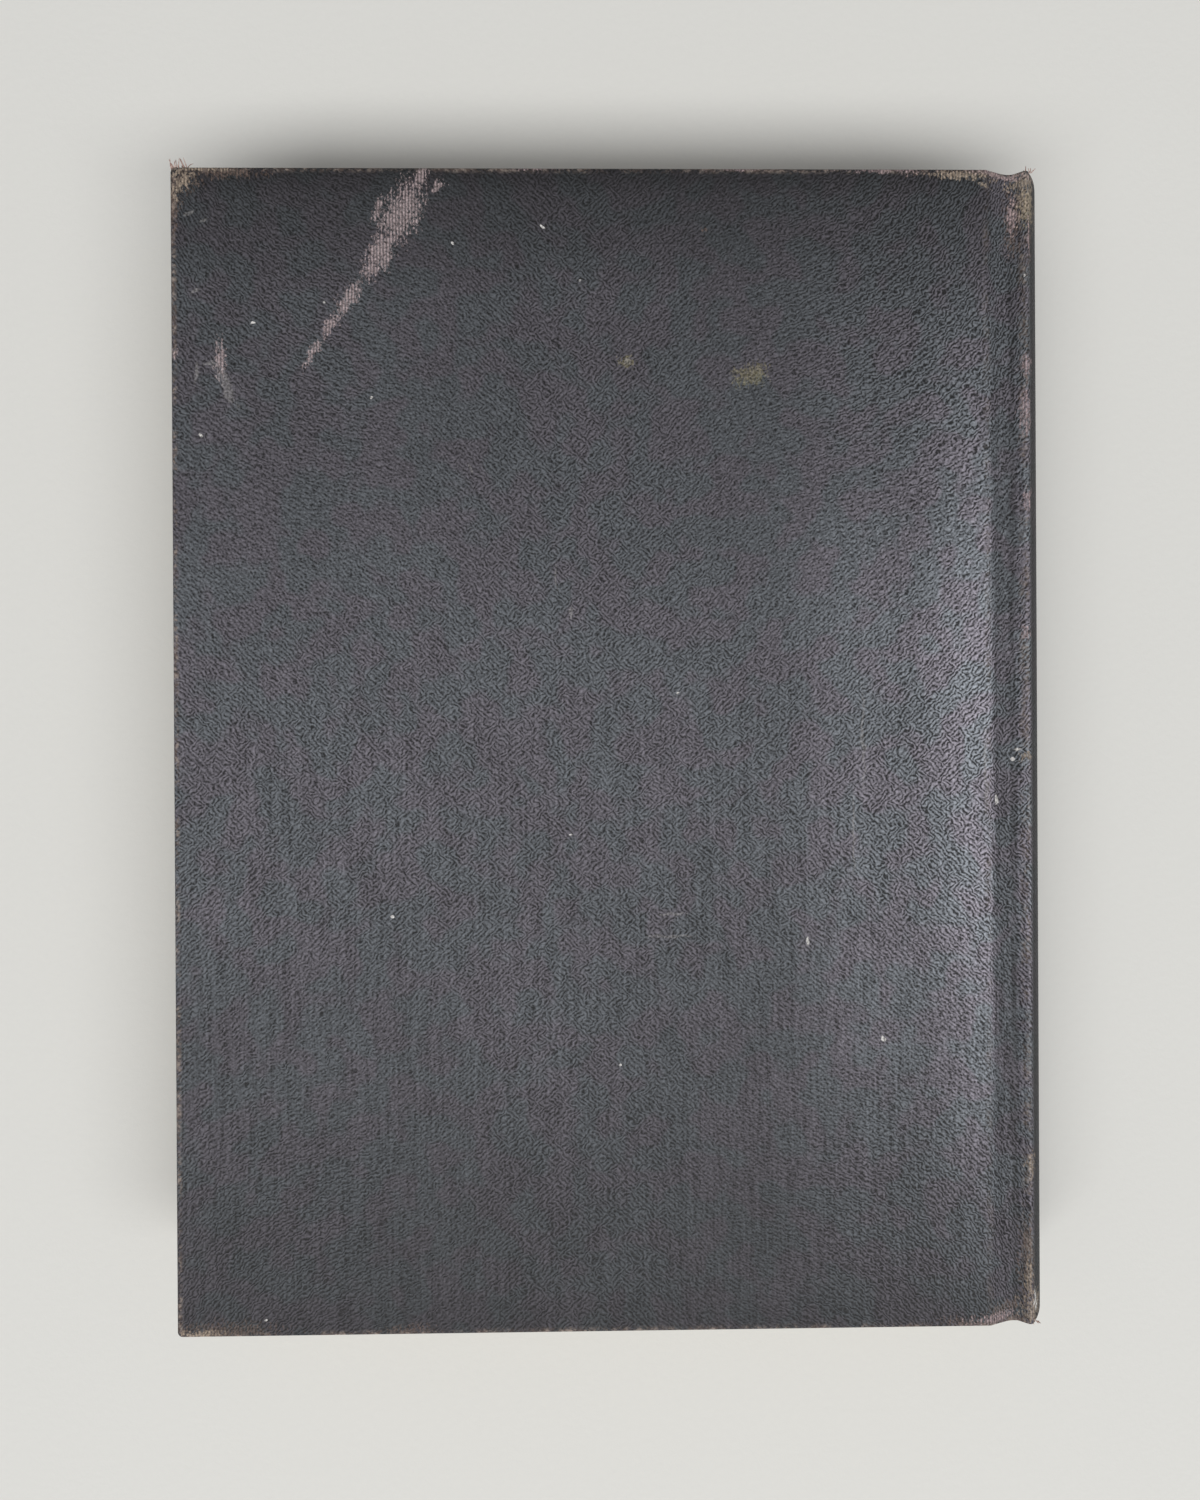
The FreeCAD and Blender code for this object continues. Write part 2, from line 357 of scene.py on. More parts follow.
class Wire:
    """Output of a node that takes part in sums. Numbers and other outputs can stand on either side."""

    def __init__(self, maker: "Dye", socket: bpy.types.NodeSocket) -> None:
        """Keeps the node tree's maker and the socket."""
        self.maker = maker
        self.socket = socket

    def _math(self, operation: str, *values: Any, clamp: bool = False) -> "Wire":
        """Adds one Math node.

        Args:
            operation: Operation of the node.
            values: Numbers or wires, in the node's order.
            clamp: Whether the result is held between 0 and 1.

        Returns:
            The result.
        """
        return self.maker.node("ShaderNodeMath", {"operation": operation, "use_clamp": clamp},
                               dict(enumerate(values)))

    def __add__(self, other: Any) -> "Wire":
        """Sum."""
        return self._math("ADD", self, other)

    __radd__ = __add__

    def __sub__(self, other: Any) -> "Wire":
        """Difference."""
        return self._math("SUBTRACT", self, other)

    def __rsub__(self, other: Any) -> "Wire":
        """Difference the other way round."""
        return self._math("SUBTRACT", other, self)

    def __mul__(self, other: Any) -> "Wire":
        """Product."""
        return self._math("MULTIPLY", self, other)

    __rmul__ = __mul__

    def sine(self) -> "Wire":
        """Sine."""
        return self._math("SINE", self)

    def size(self) -> "Wire":
        """Value without its sign."""
        return self._math("ABSOLUTE", self)

    def lower(self, other: Any) -> "Wire":
        """The lower of two values."""
        return self._math("MINIMUM", self, other)

    def upper(self, other: Any) -> "Wire":
        """The higher of two values."""
        return self._math("MAXIMUM", self, other)

    def held(self) -> "Wire":
        """Value held between 0 and 1."""
        return self._math("ADD", self, 0.0, clamp=True)

    def band(self, low: float, high: float, to_low: float = 0.0, to_high: float = 1.0) -> "Wire":
        """Smooth step from one value to another.

        Args:
            low: Value where the step starts.
            high: Value where it ends.
            to_low: Result before the start.
            to_high: Result after the end.

        Returns:
            The eased value.
        """
        return self.maker.node(
            "ShaderNodeMapRange", {"interpolation_type": "SMOOTHSTEP"},
            {"Value": self, "From Min": low, "From Max": high, "To Min": to_low, "To Max": to_high})


Colour = tuple[float, float, float]


@dataclass(frozen=True)
class Step:
    """Smooth step of a value, from 0 at low to the amount at high.

    With a centre, the distance from it takes the value's place.
    """

    low: float
    high: float
    amount: float = 1.0
    centre: float | None = None

    def of(self, value: Wire) -> Wire:
        """The step at a value.

        Args:
            value: The value.

        Returns:
            A number between 0 and the amount.
        """
        at = value if self.centre is None else (value - self.centre).size()
        eased = at.band(self.low, self.high)
        return eased if self.amount == 1.0 else eased * self.amount


@dataclass(frozen=True)
class Cloud:
    """Pattern of a cloudy value between 0 and 1.

    The pitch is the size of a cloud in millimetres, one number or one along each axis. Detail counts the
    octaves, rough is the strength of the finer ones, and another seed gives another pattern.
    """

    pitch: float | tuple[float, float, float]
    detail: float = 2.0
    rough: float = 0.5
    seed: float = 0.0

    @property
    def place(self) -> Vector:
        """Shift of the pattern that the seed gives."""
        return Vector(tuple(self.seed * share for share in SEED_SHIFT))

    @property
    def scale(self) -> Vector:
        """Clouds in a millimetre along each axis."""
        sizes = self.pitch if isinstance(self.pitch, tuple) else (self.pitch,) * 3
        return Vector(tuple(1.0 / size for size in sizes))


class Pattern(Enum):
    """Clouds of the finishes."""

    GRAIN_WANDER = Cloud(1.5, 1.0, seed=2.0)
    GRAIN_MAZE = Cloud(2.4, 0.0, seed=57.0)
    GRAIN_SPECKS = Cloud(0.5, 1.0, 0.6, seed=14.0)
    MARK_EDGES = Cloud((0.5, 0.95, 1.0), 2.0, 0.8, seed=21.0)
    MARK_DRIFT = Cloud(3.2, 1.0, 0.6, seed=33.0)
    CLOTH_TONE = Cloud(30.0, 2.0, 0.55, seed=5.0)
    CLOTH_HUE = Cloud(7.0, 1.0, seed=11.0)
    CLOTH_STRANDS = Cloud((0.5, 11.0, 1.0), 1.0, seed=61.0)
    BARE_PATCHES = Cloud(1.1, 1.0, 0.6, seed=51.0)
    RUBBED_PATCHES = Cloud(7.0, 2.0, 0.65, seed=41.0)
    RUBBED_NAP = Cloud(1.0, 2.0, 0.75, seed=47.0)
    PAPER_TONE = Cloud(26.0, 4.0, 0.6, seed=2.0)
    PAPER_FIBRE = Cloud((0.5, 1.3, 0.5), 3.0, 0.65, seed=9.0)
    PAPER_FOXING = Cloud(4.5, seed=17.0)
    LEAF_WANDER = Cloud((22.0, 22.0, 2.0), 3.0, 0.6, seed=6.0)
    LEAF_STREAKS = Cloud((60.0, 60.0, 1.0), 3.0, 0.7, seed=12.0)
    LEAF_LAYERS = Cloud((90.0, 90.0, 1.0), 2.0, 0.6, seed=31.0)
    EDGE_BLOTCHES = Cloud(16.0, 4.0, 0.6, seed=23.0)
    BOARD_PULP = Cloud((1.6, 1.6, 0.5), 4.0, 0.7, seed=4.0)
    BOARD_FLECKS = Cloud((0.9, 0.5, 0.4), 1.0, seed=19.0)
    MULL_GLUE = Cloud(12.0, 3.0, 0.6, seed=7.0)
    THREAD_TWIST = Cloud(0.7, 2.0, 0.6, seed=8.0)
    FLOOR_GRAIN = Cloud(1.6, 3.0, 0.6)


class Dye:
    """Makes the nodes of one material."""

    def __init__(self, name: str, specular: float, roughness: float = 0.8) -> None:
        """Starts a material with one plain shader.

        Args:
            name: Name of the material.
            specular: Specular level.
            roughness: Roughness where nothing varies it.
        """
        self.material = bpy.data.materials.new(name)
        self.material.use_nodes = True
        self.tree = self.material.node_tree
        self.shader = next(n for n in self.tree.nodes if n.bl_idname == "ShaderNodeBsdfPrincipled")
        self.shader.inputs["Roughness"].default_value = roughness
        self.shader.inputs["Specular IOR Level"].default_value = specular

    def node(self, kind: str, settings: dict[str, Any] | None = None,
             values: dict[Any, Any] | None = None, out: Any = 0) -> Wire:
        """Adds any node.

        Args:
            kind: Type of the node.
            settings: Its settings. The key "stops" holds a ramp's (place, colour) pairs.
            values: Values or wires of its inputs, by name or number.
            out: Name or number of the output that is wanted.

        Returns:
            That output.
        """
        made = self.tree.nodes.new(kind)
        for key, value in (settings or {}).items():
            if key == "stops":
                self._ramp(made.color_ramp, value)
            else:
                setattr(made, key, value)
        for key, value in (values or {}).items():
            target = made.inputs[key]
            if isinstance(value, Wire):
                self.tree.links.new(value.socket, target)
            elif isinstance(value, tuple) and target.type == "RGBA":
                target.default_value = (*value, 1.0)
            else:
                target.default_value = value
        return Wire(self, made.outputs[out])

    @staticmethod
    def _ramp(ramp: bpy.types.ColorRamp, stops: Sequence[tuple[float, Colour]]) -> None:
        """Sets the stops of a colour ramp.

        Args:
            ramp: The ramp.
            stops: Its (place, colour) pairs.
        """
        while len(ramp.elements) < len(stops):
            ramp.elements.new(0.5)
        for element, (place, colour) in zip(ramp.elements, stops):
            element.position = place
            element.color = (*colour, 1.0)

    def attribute(self, name: str) -> Wire:
        """Vector kept on the piece's points."""
        return self.node("ShaderNodeAttribute", {"attribute_name": name}, out="Vector")

    def object_mm(self) -> Wire:
        """Object coordinates in millimetres."""
        place = self.node("ShaderNodeTexCoord", out="Object")
        return self.node("ShaderNodeVectorMath", {"operation": "SCALE"}, {0: place, "Scale": 1 / MM})

    def parts(self, vector: Wire) -> tuple[Wire, Wire, Wire]:
        """The three numbers of a vector."""
        split = self.node("ShaderNodeSeparateXYZ", None, {0: vector}).socket.node
        return tuple(Wire(self, split.outputs[i]) for i in range(3))

    def joined(self, x: Any, y: Any, z: Any = 0.0) -> Wire:
        """Vector of three numbers."""
        return self.node("ShaderNodeCombineXYZ", None, {0: x, 1: y, 2: z})

    def noise(self, vector: Wire, pattern: Pattern) -> Wire:
        """Cloudy value between 0 and 1.

        Args:
            vector: Place in millimetres.
            pattern: Which cloud.

        Returns:
            The value.
        """
        cloud = pattern.value
        scaled = self.node("ShaderNodeMapping", {"vector_type": "POINT"},
                           {"Vector": vector, "Location": cloud.place, "Scale": cloud.scale})
        values = {"Vector": scaled, "Scale": 1.0, "Detail": cloud.detail, "Roughness": cloud.rough}
        return self.node("ShaderNodeTexNoise", {"noise_dimensions": "3D"}, values, out="Fac")

    def mix(self, factor: Any, first: Any, second: Any, blend: str = "MIX") -> Wire:
        """Mix of two colours.

        Args:
            factor: Share of the second one.
            first: Colour or wire.
            second: Colour or wire.
            blend: Way of mixing.

        Returns:
            The colour.
        """
        return self.node("ShaderNodeMix", {"data_type": "RGBA", "blend_type": blend},
                         {0: factor, 6: first, 7: second}, out=2)

    def scaled(self, colour: Any, factor: Wire) -> Wire:
        """Colour made lighter or darker by a factor."""
        grey = self.joined(factor, factor, factor)
        return self.mix(1.0, colour, grey, "MULTIPLY")

    def colour(self, wire: Wire) -> None:
        """Sets the base colour."""
        self.tree.links.new(wire.socket, self.shader.inputs["Base Color"])

    def roughness(self, wire: Wire) -> None:
        """Sets a roughness that varies."""
        self.tree.links.new(wire.socket, self.shader.inputs["Roughness"])

    def bump(self, height: Wire, depth: float) -> None:
        """Raises the surface by a height between 0 and 1, where 1 stands for a depth in millimetres."""
        normal = self.node("ShaderNodeBump", None, {"Height": height, "Distance": depth * MM})
        self.tree.links.new(normal.socket, self.shader.inputs["Normal"])


@dataclass(frozen=True)
class Mark:
    """One worn or stained spot on the cloth: an oval with soft, ragged edges, in millimetres."""

    x: float
    y: float
    half_length: float
    half_width: float
    angle: float = 0.0


@dataclass(frozen=True)
class Stain:
    """Marks of one colour on the back cover and the spine, each a row of the numbers of a Mark.

    Cover is how much of the cloth's colour they hide, ragged is how torn their edges are, and threads is how
    much the weave breaks them up.
    """

    colour: Colour
    cover: float
    ragged: float
    threads: float
    rows: tuple[tuple[float, ...], ...]

    @property
    def marks(self) -> tuple[Mark, ...]:
        """The rows as marks."""
        return tuple(Mark(*row) for row in self.rows)


# Scrape down to the base cloth.
SCRAPE = Stain((0.42, 0.335, 0.34), cover=0.95, ragged=2.3, threads=1.0, rows=(
    (-128.6, 122.6, 3.2, 1.2, 1.15), (-132.6, 115.2, 6.3, 3.1, 1.08), (-136.8, 107.3, 4.6, 2.3, 1.1),
    (-139.2, 103.0, 2.0, 1.6, 1.1), (-144.0, 97.0, 4.0, 1.3, 0.95), (-147.6, 91.5, 3.2, 0.9, 1.0),
    (-151.5, 85.2, 3.0, 0.7, 1.0), (-137.8, 115.8, 2.3, 0.9, 1.1), (-124.9, 121.0, 1.4, 1.0, 0.9),
    (-171.4, 84.0, 3.4, 0.9, 1.6), (-180.9, 85.0, 1.2, 0.6, 1.5),
))

# Pale specks.
SPECKS = Stain((0.52, 0.51, 0.50), cover=1.0, ragged=0.5, threads=0.15, rows=(
    (-139.0, 75.6, 0.40, 0.34, 0.4), (-46.1, -41.3, 0.8, 0.3, 1.2), (0.1, -0.2, 0.6, 0.4, 0.6),
    (-0.7, -2.4, 0.45, 0.35, 0.6), (-97.3, -17.9, 0.35, 0.28), (-102.5, 112.3, 0.45, 0.24, 2.4),
    (-94.3, 100.7, 0.3, 0.25), (-121.9, 108.9, 0.45, 0.2, 2.0), (-149.2, 96.1, 0.26, 0.22),
    (-175.3, 67.6, 0.7, 0.34, 2.6), (-164.0, 91.4, 0.42, 0.26, 0.5), (-135.5, -35.2, 0.4, 0.35),
    (-86.7, -67.6, 0.35, 0.3), (-29.9, -62.6, 0.45, 0.3, 0.9), (-162.8, -121.4, 0.35, 0.3),
    (-74.0, 12.3, 0.35, 0.3), (-5.0, -11.0, 1.0, 0.3, 1.5), (1.6, 102.4, 0.35, 0.3),
    (3.2, -119.2, 1.9, 0.4, 1.45), (3.9, -121.5, 1.1, 0.4, 1.1),
))

# Light threads.
SLUBS = Stain((0.27, 0.26, 0.26), cover=0.45, ragged=1.0, threads=0.5, rows=(
    (-84.5, 83.6, 0.9, 0.7), (-99.9, 37.0, 2.4, 0.25, 1.57), (-96.8, 29.6, 1.3, 0.35, 1.57),
    (-34.0, 2.0, 11.0, 0.3, 1.57), (-36.2, -18.0, 8.0, 0.28, 1.57), (-7.5, -6.0, 9.0, 0.4, 1.57),
    (-76.0, -40.0, 4.6, 0.3, 0.05), (-75.5, -35.3, 3.0, 0.25, 0.02), (-177.6, 114.9, 1.3, 0.5, 0.2),
    (-174.8, 113.6, 0.9, 0.4, 0.6), (-176.6, 98.6, 1.2, 0.4, 0.3), (-173.5, 83.0, 1.2, 0.5, 0.4),
    (-170.2, 78.8, 4.6, 1.1, 2.0), (-169.4, 76.0, 1.8, 1.0, 2.4), (-176.6, 81.0, 2.2, 0.6, 1.4),
    (-118.0, 60.5, 1.4, 0.3, 2.1),
))

# Ochre spots.
OCHRE = Stain((0.26, 0.23, 0.12), cover=0.42, ragged=1.8, threads=0.5, rows=(
    (-84.6, 83.6, 1.6, 1.2), (-57.8, 80.6, 3.2, 2.0, 0.3), (2.4, 117.0, 3.6, 1.7, 1.5),
))

# Brown spots.
RUST = Stain((0.17, 0.118, 0.095), cover=0.55, ragged=2.8, threads=0.8, rows=(
    (-67.5, 111.7, 0.7, 0.5), (-172.0, -123.9, 9.5, 1.7, 0.02), (-133.0, -124.4, 4.0, 1.2, 0.1),
    (-6.5, -124.4, 9.0, 1.2, -0.05), (-181.2, 118.0, 6.0, 0.9, 1.57), (-178.8, 122.2, 5.0, 2.2, 0.75),
    (-171.0, 124.0, 7.0, 1.2, 0.0), (-9.0, 124.3, 11.0, 0.9, -0.02), (-0.4, 114.8, 6.0, 1.5, 1.57),
    (2.7, 111.5, 5.0, 0.8, 1.6), (1.4, -112.0, 6.5, 1.3, 1.57), (-4.0, -121.8, 4.5, 1.2, 0.3),
))

# Tan wear at the corners and caps.
TAN = Stain((0.37, 0.30, 0.235), cover=0.85, ragged=2.4, threads=0.85, rows=(
    (1.4, 122.8, 2.8, 1.3, 0.3), (2.2, 118.4, 4.2, 2.0, 1.6), (2.9, -121.4, 3.0, 2.1, 1.5),
    (-12.5, 123.6, 5.5, 0.8, -0.05), (1.6, -115.0, 4.0, 0.5, 1.57), (2.2, -90.6, 1.0, 2.4, 0.0),
    (-180.4, 123.6, 1.6, 0.7, 0.8), (-175.0, 124.6, 5.5, 0.5, 0.03), (-179.0, 121.4, 3.6, 1.2, 0.85),
    (-176.5, -124.3, 4.5, 0.8, 0.0), (1.8, -1.8, 1.0, 0.8, 0.0), (4.3, -120.5, 1.2, 0.9, 0.6),
    (-7.2, 121.4, 1.3, 0.35, -0.35),
))

# Pink wear on the ridge.
ROSE = Stain((0.42, 0.32, 0.33), cover=0.8, ragged=2.4, threads=0.95, rows=(
    (2.0, 82.9, 2.1, 1.1, 1.57), (1.9, 72.5, 4.2, 0.9, 1.57), (2.2, 53.9, 2.2, 0.8, 1.57),
    (1.6, 24.8, 1.5, 0.7, 1.57), (2.6, 111.0, 4.5, 0.35, 1.6), (-0.4, 116.4, 3.4, 0.8, 1.5),
    (-4.0, 124.2, 6.5, 0.6, -0.05), (-6.6, -123.4, 4.2, 0.9, 0.05), (-60.0, 124.9, 6.0, 0.5, 0.0),
    (-28.0, 124.8, 8.0, 0.6, 0.0), (-103.0, 124.9, 5.0, 0.4, 0.0),
))
STAINS = (RUST, SCRAPE, OCHRE, TAN, ROSE, SLUBS, SPECKS)


@dataclass(frozen=True)
class Zone:
    """Part of a cover whose faces share one material, which carries only the marks near it."""

    name: str
    left: float = -1000.0
    right: float = 1000.0
    bottom: float = -1000.0
    top: float = 1000.0
    margin: float = 4.0
    raggedness: float = 1.5

    def reaches(self, mark: Mark) -> bool:
        """Whether a mark may touch this zone."""
        reach = self.margin + self.raggedness * max(mark.half_length, mark.half_width)
        return (self.left - reach < mark.x < self.right + reach
                and self.bottom - reach < mark.y < self.top + reach)

    def holds(self, places: np.ndarray) -> np.ndarray:
        """Which of the places lie in this zone."""
        x, y = places[:, 0], places[:, 1]
        return (x >= self.left) & (x < self.right) & (y >= self.bottom) & (y < self.top)


ZONES = (
    Zone("scraped_corner", right=-110.0, bottom=60.0),
    Zone("left_side", right=-110.0, top=60.0),
    Zone("head_field", left=-110.0, right=-22.0, bottom=0.0),
    Zone("tail_field", left=-110.0, right=-22.0, top=0.0),
    Zone("head_of_joint", left=-22.0, bottom=0.0),
    Zone("tail_of_joint", left=-22.0, top=0.0),
)


@dataclass(frozen=True)
class BookCloth:
    """Charcoal book cloth with a fine rippled grain and worn edges, with painted sheen and painted shade.

    Places are in millimetres: x across the cover from the joint line, y along it, v the height. The flat
    sheet's places are s and u. The fade holds pairs of height share and grey, from tail to head, and is in
    part a
    painted sheen: lighter in the middle and darker towards both ends. The sheen steps are a painted sheen
    towards the joint, the flank is a painted highlight on the worn ridge, the joint grey is a painted lift in
    the groove, and the foot and the spine steps are painted shade at the foot of the shoulder and on the
    spine's side. The grip is what threads and specks keep a mark from covering, the flecks are the strength
    and least of a mark's own specks, and the shine is the roughness when clean, what wear adds and what
    specks add.
    """

    name: str = "charcoal_book_cloth"
    zone: Zone | None = None
    base: Colour = (0.0888, 0.0878, 0.1004)
    cool: Colour = (0.94, 1.03, 1.01)
    warm: Colour = (1.035, 0.985, 1.01)
    bare_dark: Colour = (0.12, 0.088, 0.075)
    bare_light: Colour = (0.34, 0.28, 0.245)
    hue: Step = Step(0.42, 0.58)
    ripple: float = 0.85
    to_middle: tuple[float, float] = (95.0, 10.0)
    lean: float = 0.000047
    ripple_wander: float = 16.0
    maze_wander: float = 13.0
    quarter_lean: float = 0.00009
    quarter_most: float = 0.3
    maze_pick: Step = Step(0.44, 0.56)
    ripple_across: Step = Step(8.0, 60.0)
    ripple_along: Step = Step(15.0, 95.0)
    wave_height: float = 0.26
    speck_height: float = 0.7
    bump_depth: float = 0.12
    thread_pitch: float = 0.68
    thread_grip: tuple[float, float] = (0.558, 0.434)
    mark_shift: tuple[float, float] = (2.2, 1.6)
    mark_edge: Step = Step(1.2, 0.7)
    mark_flecks: tuple[float, float] = (3.2, 0.3)
    upper_side: Step = Step(-1.5, 1.5)
    # In part a painted sheen: lighter in the middle of the cover, darker towards the head and tail.
    fade_and_sheen: tuple[tuple[float, float], ...] = (
        (0.0, 0.36), (0.04, 0.50), (0.11, 0.58), (0.20, 0.74), (0.28, 0.84), (0.37, 0.95), (0.46, 1.0),
        (0.54, 1.0), (0.63, 0.92), (0.72, 0.79), (0.80, 0.71), (0.89, 0.63), (0.94, 0.45), (0.974, 0.36),
        (1.0, 0.14))
    # Fades the painted sheen and the ridge's painted highlight towards both ends.
    ends: Step = Step(20.0, 125.0, 0.92, centre=-8.0)
    # Painted sheen, growing towards the joint and cut off past the board's edge.
    sheen_field: Step = Step(-57.0, -32.0, 0.4)
    sheen_joint: Step = Step(-25.0, -7.0, 0.84)
    sheen_end: Step = Step(-6.6, -4.6, 0.97)
    # Painted highlight on the ridge's flank, where the cloth is also worn.
    flank_start: Step = Step(-0.6, 1.0, 0.8)
    flank_end: Step = Step(1.9, 2.9)
    shoulder: Step = Step(9.0, 11.0)
    # Painted shade in the groove at the foot of the shoulder.
    foot: Step = Step(1.2, 0.2, 0.26, centre=-0.7)
    # Painted shade on the spine's side, which turns away from the light.
    spine: Step = Step(2.2, 3.6, 0.76)
    # The joint is held at one grey, a painted lift against the shade of the groove.
    joint_grey: float = 0.9
    joint: Step = Step(-7.0, -4.5, 0.6)
    cloudiness: float = 0.3
    streak: float = 0.4
    streak_tail: Step = Step(55.0, -25.0, 0.8)
    streak_joint: Step = Step(-7.5, -5.5, 0.4)
    contrast: float = 2.1
    # Stronger grain contrast towards the joint, standing in part for the painted sheen's sparkle.
    contrast_joint: Step = Step(-50.0, -15.0, 0.9)
    speck_contrast: float = 1.2
    darkest: float = 0.12
    rim_ends: Step = Step(123.4, 124.8, 0.85)
    rim_fore: Step = Step(0.9, 0.1, 0.85, centre=-181.1)
    rim_joint: Step = Step(1.3, 0.1, 0.2, centre=-6.9)
    rim_ridge: Step = Step(1.3, 0.2, 0.55, centre=1.5)
    rubbed: Step = Step(0.88, 1.2667)
    bareness: float = 0.9
    shine: tuple[float, float, float] = (0.62, 0.25, 0.2)

    def grain(self, dye: Dye, weave: Wire) -> tuple[Wire, Wire]:
        """Raised grain of the cloth.

        Ripples are a sine along the cover whose phase also grows with the square of the distance from the
        middle, so that they lean one way on each side, and wanders with a cloud. In the middle they give way
        to a maze: sines along the two diagonals, with a cloud that picks one or the other from spot to spot,
        and favours one of them in each quarter of the cover.

        Args:
            dye: Maker of the nodes.
            weave: Place on the flat sheet.

        Returns:
            Height near 0 to 1, and the fine specks that are part of it.
        """
        s, u, _ = dye.parts(weave)
        across, along = s + self.to_middle[0], u + self.to_middle[1]
        wander = dye.noise(weave, Pattern.GRAIN_WANDER) - 0.5
        lean = across * across * u * self.lean
        ripple = ((u - lean) * (2 * math.pi / self.ripple) + wander * self.ripple_wander).sine()
        turn = math.sqrt(2) * math.pi / self.ripple
        rising = ((u - s) * turn + wander * self.maze_wander).sine()
        falling = ((u + s) * turn - wander * self.maze_wander).sine()
        quarter = (across * along * self.quarter_lean).lower(self.quarter_most).upper(-self.quarter_most)
        pick = self.maze_pick.of(dye.noise(weave, Pattern.GRAIN_MAZE) + quarter)
        maze = falling + (rising - falling) * pick
        side = self.ripple_across.of(across.size()) * self.ripple_along.of(along.size())
        fine = dye.noise(weave, Pattern.GRAIN_SPECKS)
        height = 0.5 + (maze + (ripple - maze) * side) * self.wave_height + (fine - 0.5) * self.speck_height
        return height, fine

    @staticmethod
    def nearest(dye: Dye, place: Wire, marks: list[Mark]) -> Wire:
        """Least distance to the middle of a mark, where 1 is the edge of its oval.

        Args:
            dye: Maker of the nodes.
            place: Place on the cover.
            marks: The marks.

        Returns:
            The distance.
        """
        reaches = []
        for mark in marks:
            turned = dye.node("ShaderNodeMapping", {"vector_type": "TEXTURE"}, {
                "Vector": place, "Location": Vector((mark.x, mark.y, 0.0)),
                "Rotation": Vector((0.0, 0.0, mark.angle)),
                "Scale": Vector((mark.half_length, mark.half_width, 1.0))})
            length = dye.node("ShaderNodeVectorMath", {"operation": "LENGTH"}, {0: turned}, out="Value")
            reaches.append(length)
        return reduce(Wire.lower, reaches)

    def stained(self, dye: Dye, colour: Wire, rest: Wire, weave: Wire, fine: Wire) -> tuple[Wire, Wire]:
        """Colour with every stain laid over it.

        Args:
            dye: Maker of the nodes.
            colour: Colour of the clean cloth.
            rest: Place at rest.
            weave: Place on the flat sheet.
            fine: Fine specks of the grain.

        Returns:
            The new colour and the share that is worn.
        """
        x, y, v = dye.parts(rest)
        s, _, _ = dye.parts(weave)
        upper = self.upper_side.of(v)
        torn = dye.noise(weave, Pattern.MARK_EDGES) - 0.5
        drift = dye.noise(weave, Pattern.MARK_DRIFT) - 0.5
        strength, least = self.mark_flecks
        fleck = (1.0 + (fine - 0.5) * strength).upper(least)
        thread = (s * (2 * math.pi / self.thread_pitch)).sine() * 0.5 + 0.5
        grip = thread * self.thread_grip[0] + fine * self.thread_grip[1]
        place = dye.joined(x + drift * self.mark_shift[0], y - drift * self.mark_shift[1])
        shares = []
        for stain in STAINS:
            near = [mark for mark in stain.marks if self.zone.reaches(mark)]
            if not near:
                continue
            share = self.mark_edge.of(self.nearest(dye, place, near) + torn * (2.0 * stain.ragged)) * upper
            share = share * (1.0 - grip * stain.threads).held() * stain.cover
            colour = dye.mix(share, colour, dye.scaled(stain.colour, fleck))
            shares.append(share)
        return colour, reduce(Wire.upper, shares)

    def tone_and_painted_light(self, dye: Dye, x: Wire, y: Wire, v: Wire) -> Wire:
        """Slow changes of lightness: a painted sheen, lighter in the middle, towards the joint and on the
        ridge, darker at both ends, and painted shade in the groove and on the spine's side.

        Args:
            dye: Maker of the nodes.
            x: Place across the cover.
            y: Place along the cover.
            v: Height.

        Returns:
            A factor for the colour.
        """
        stops = tuple((place, (grey, grey, grey)) for place, grey in self.fade_and_sheen)
        share = (y + BOOK.half_height) * (1 / BOOK.cover_height)
        along = dye.node("ShaderNodeValToRGB", {"stops": stops}, {0: share})
        # Share of the painted sheen and highlight, falling off towards both ends.
        middle = 1.0 - self.ends.of(y)
        sheen = (self.sheen_field.of(x) + self.sheen_joint.of(x)) * (1.0 - self.sheen_end.of(x))
        flank = self.flank_start.of(x) * (1.0 - self.flank_end.of(x)) * self.shoulder.of(v.size())
        # In the joint the level is held at one grey, a painted lift against the groove's shade.
        level = along + (self.joint_grey - along) * self.joint.of(x)
        # The foot and spine steps take away painted shade.
        return (level + (sheen + flank) * middle) * (1.0 - self.foot.of(x)) * (1.0 - self.spine.of(x))

    def material(self) -> bpy.types.Material:
        """Material of the cloth.

        Returns:
            The material.
        """
        dye = Dye(self.name, specular=0.25)
        rest = dye.attribute("rest")
        weave = dye.attribute("weave")
        x, y, v = dye.parts(rest)
        height, fine = self.grain(dye, weave)
        clouds = dye.noise(rest, Pattern.CLOTH_TONE)
        strands = dye.noise(weave, Pattern.CLOTH_STRANDS) - 0.5
        tint = dye.mix(self.hue.of(dye.noise(rest, Pattern.CLOTH_HUE)), self.cool, self.warm)
        colour = dye.mix(1.0, self.base, tint, "MULTIPLY")
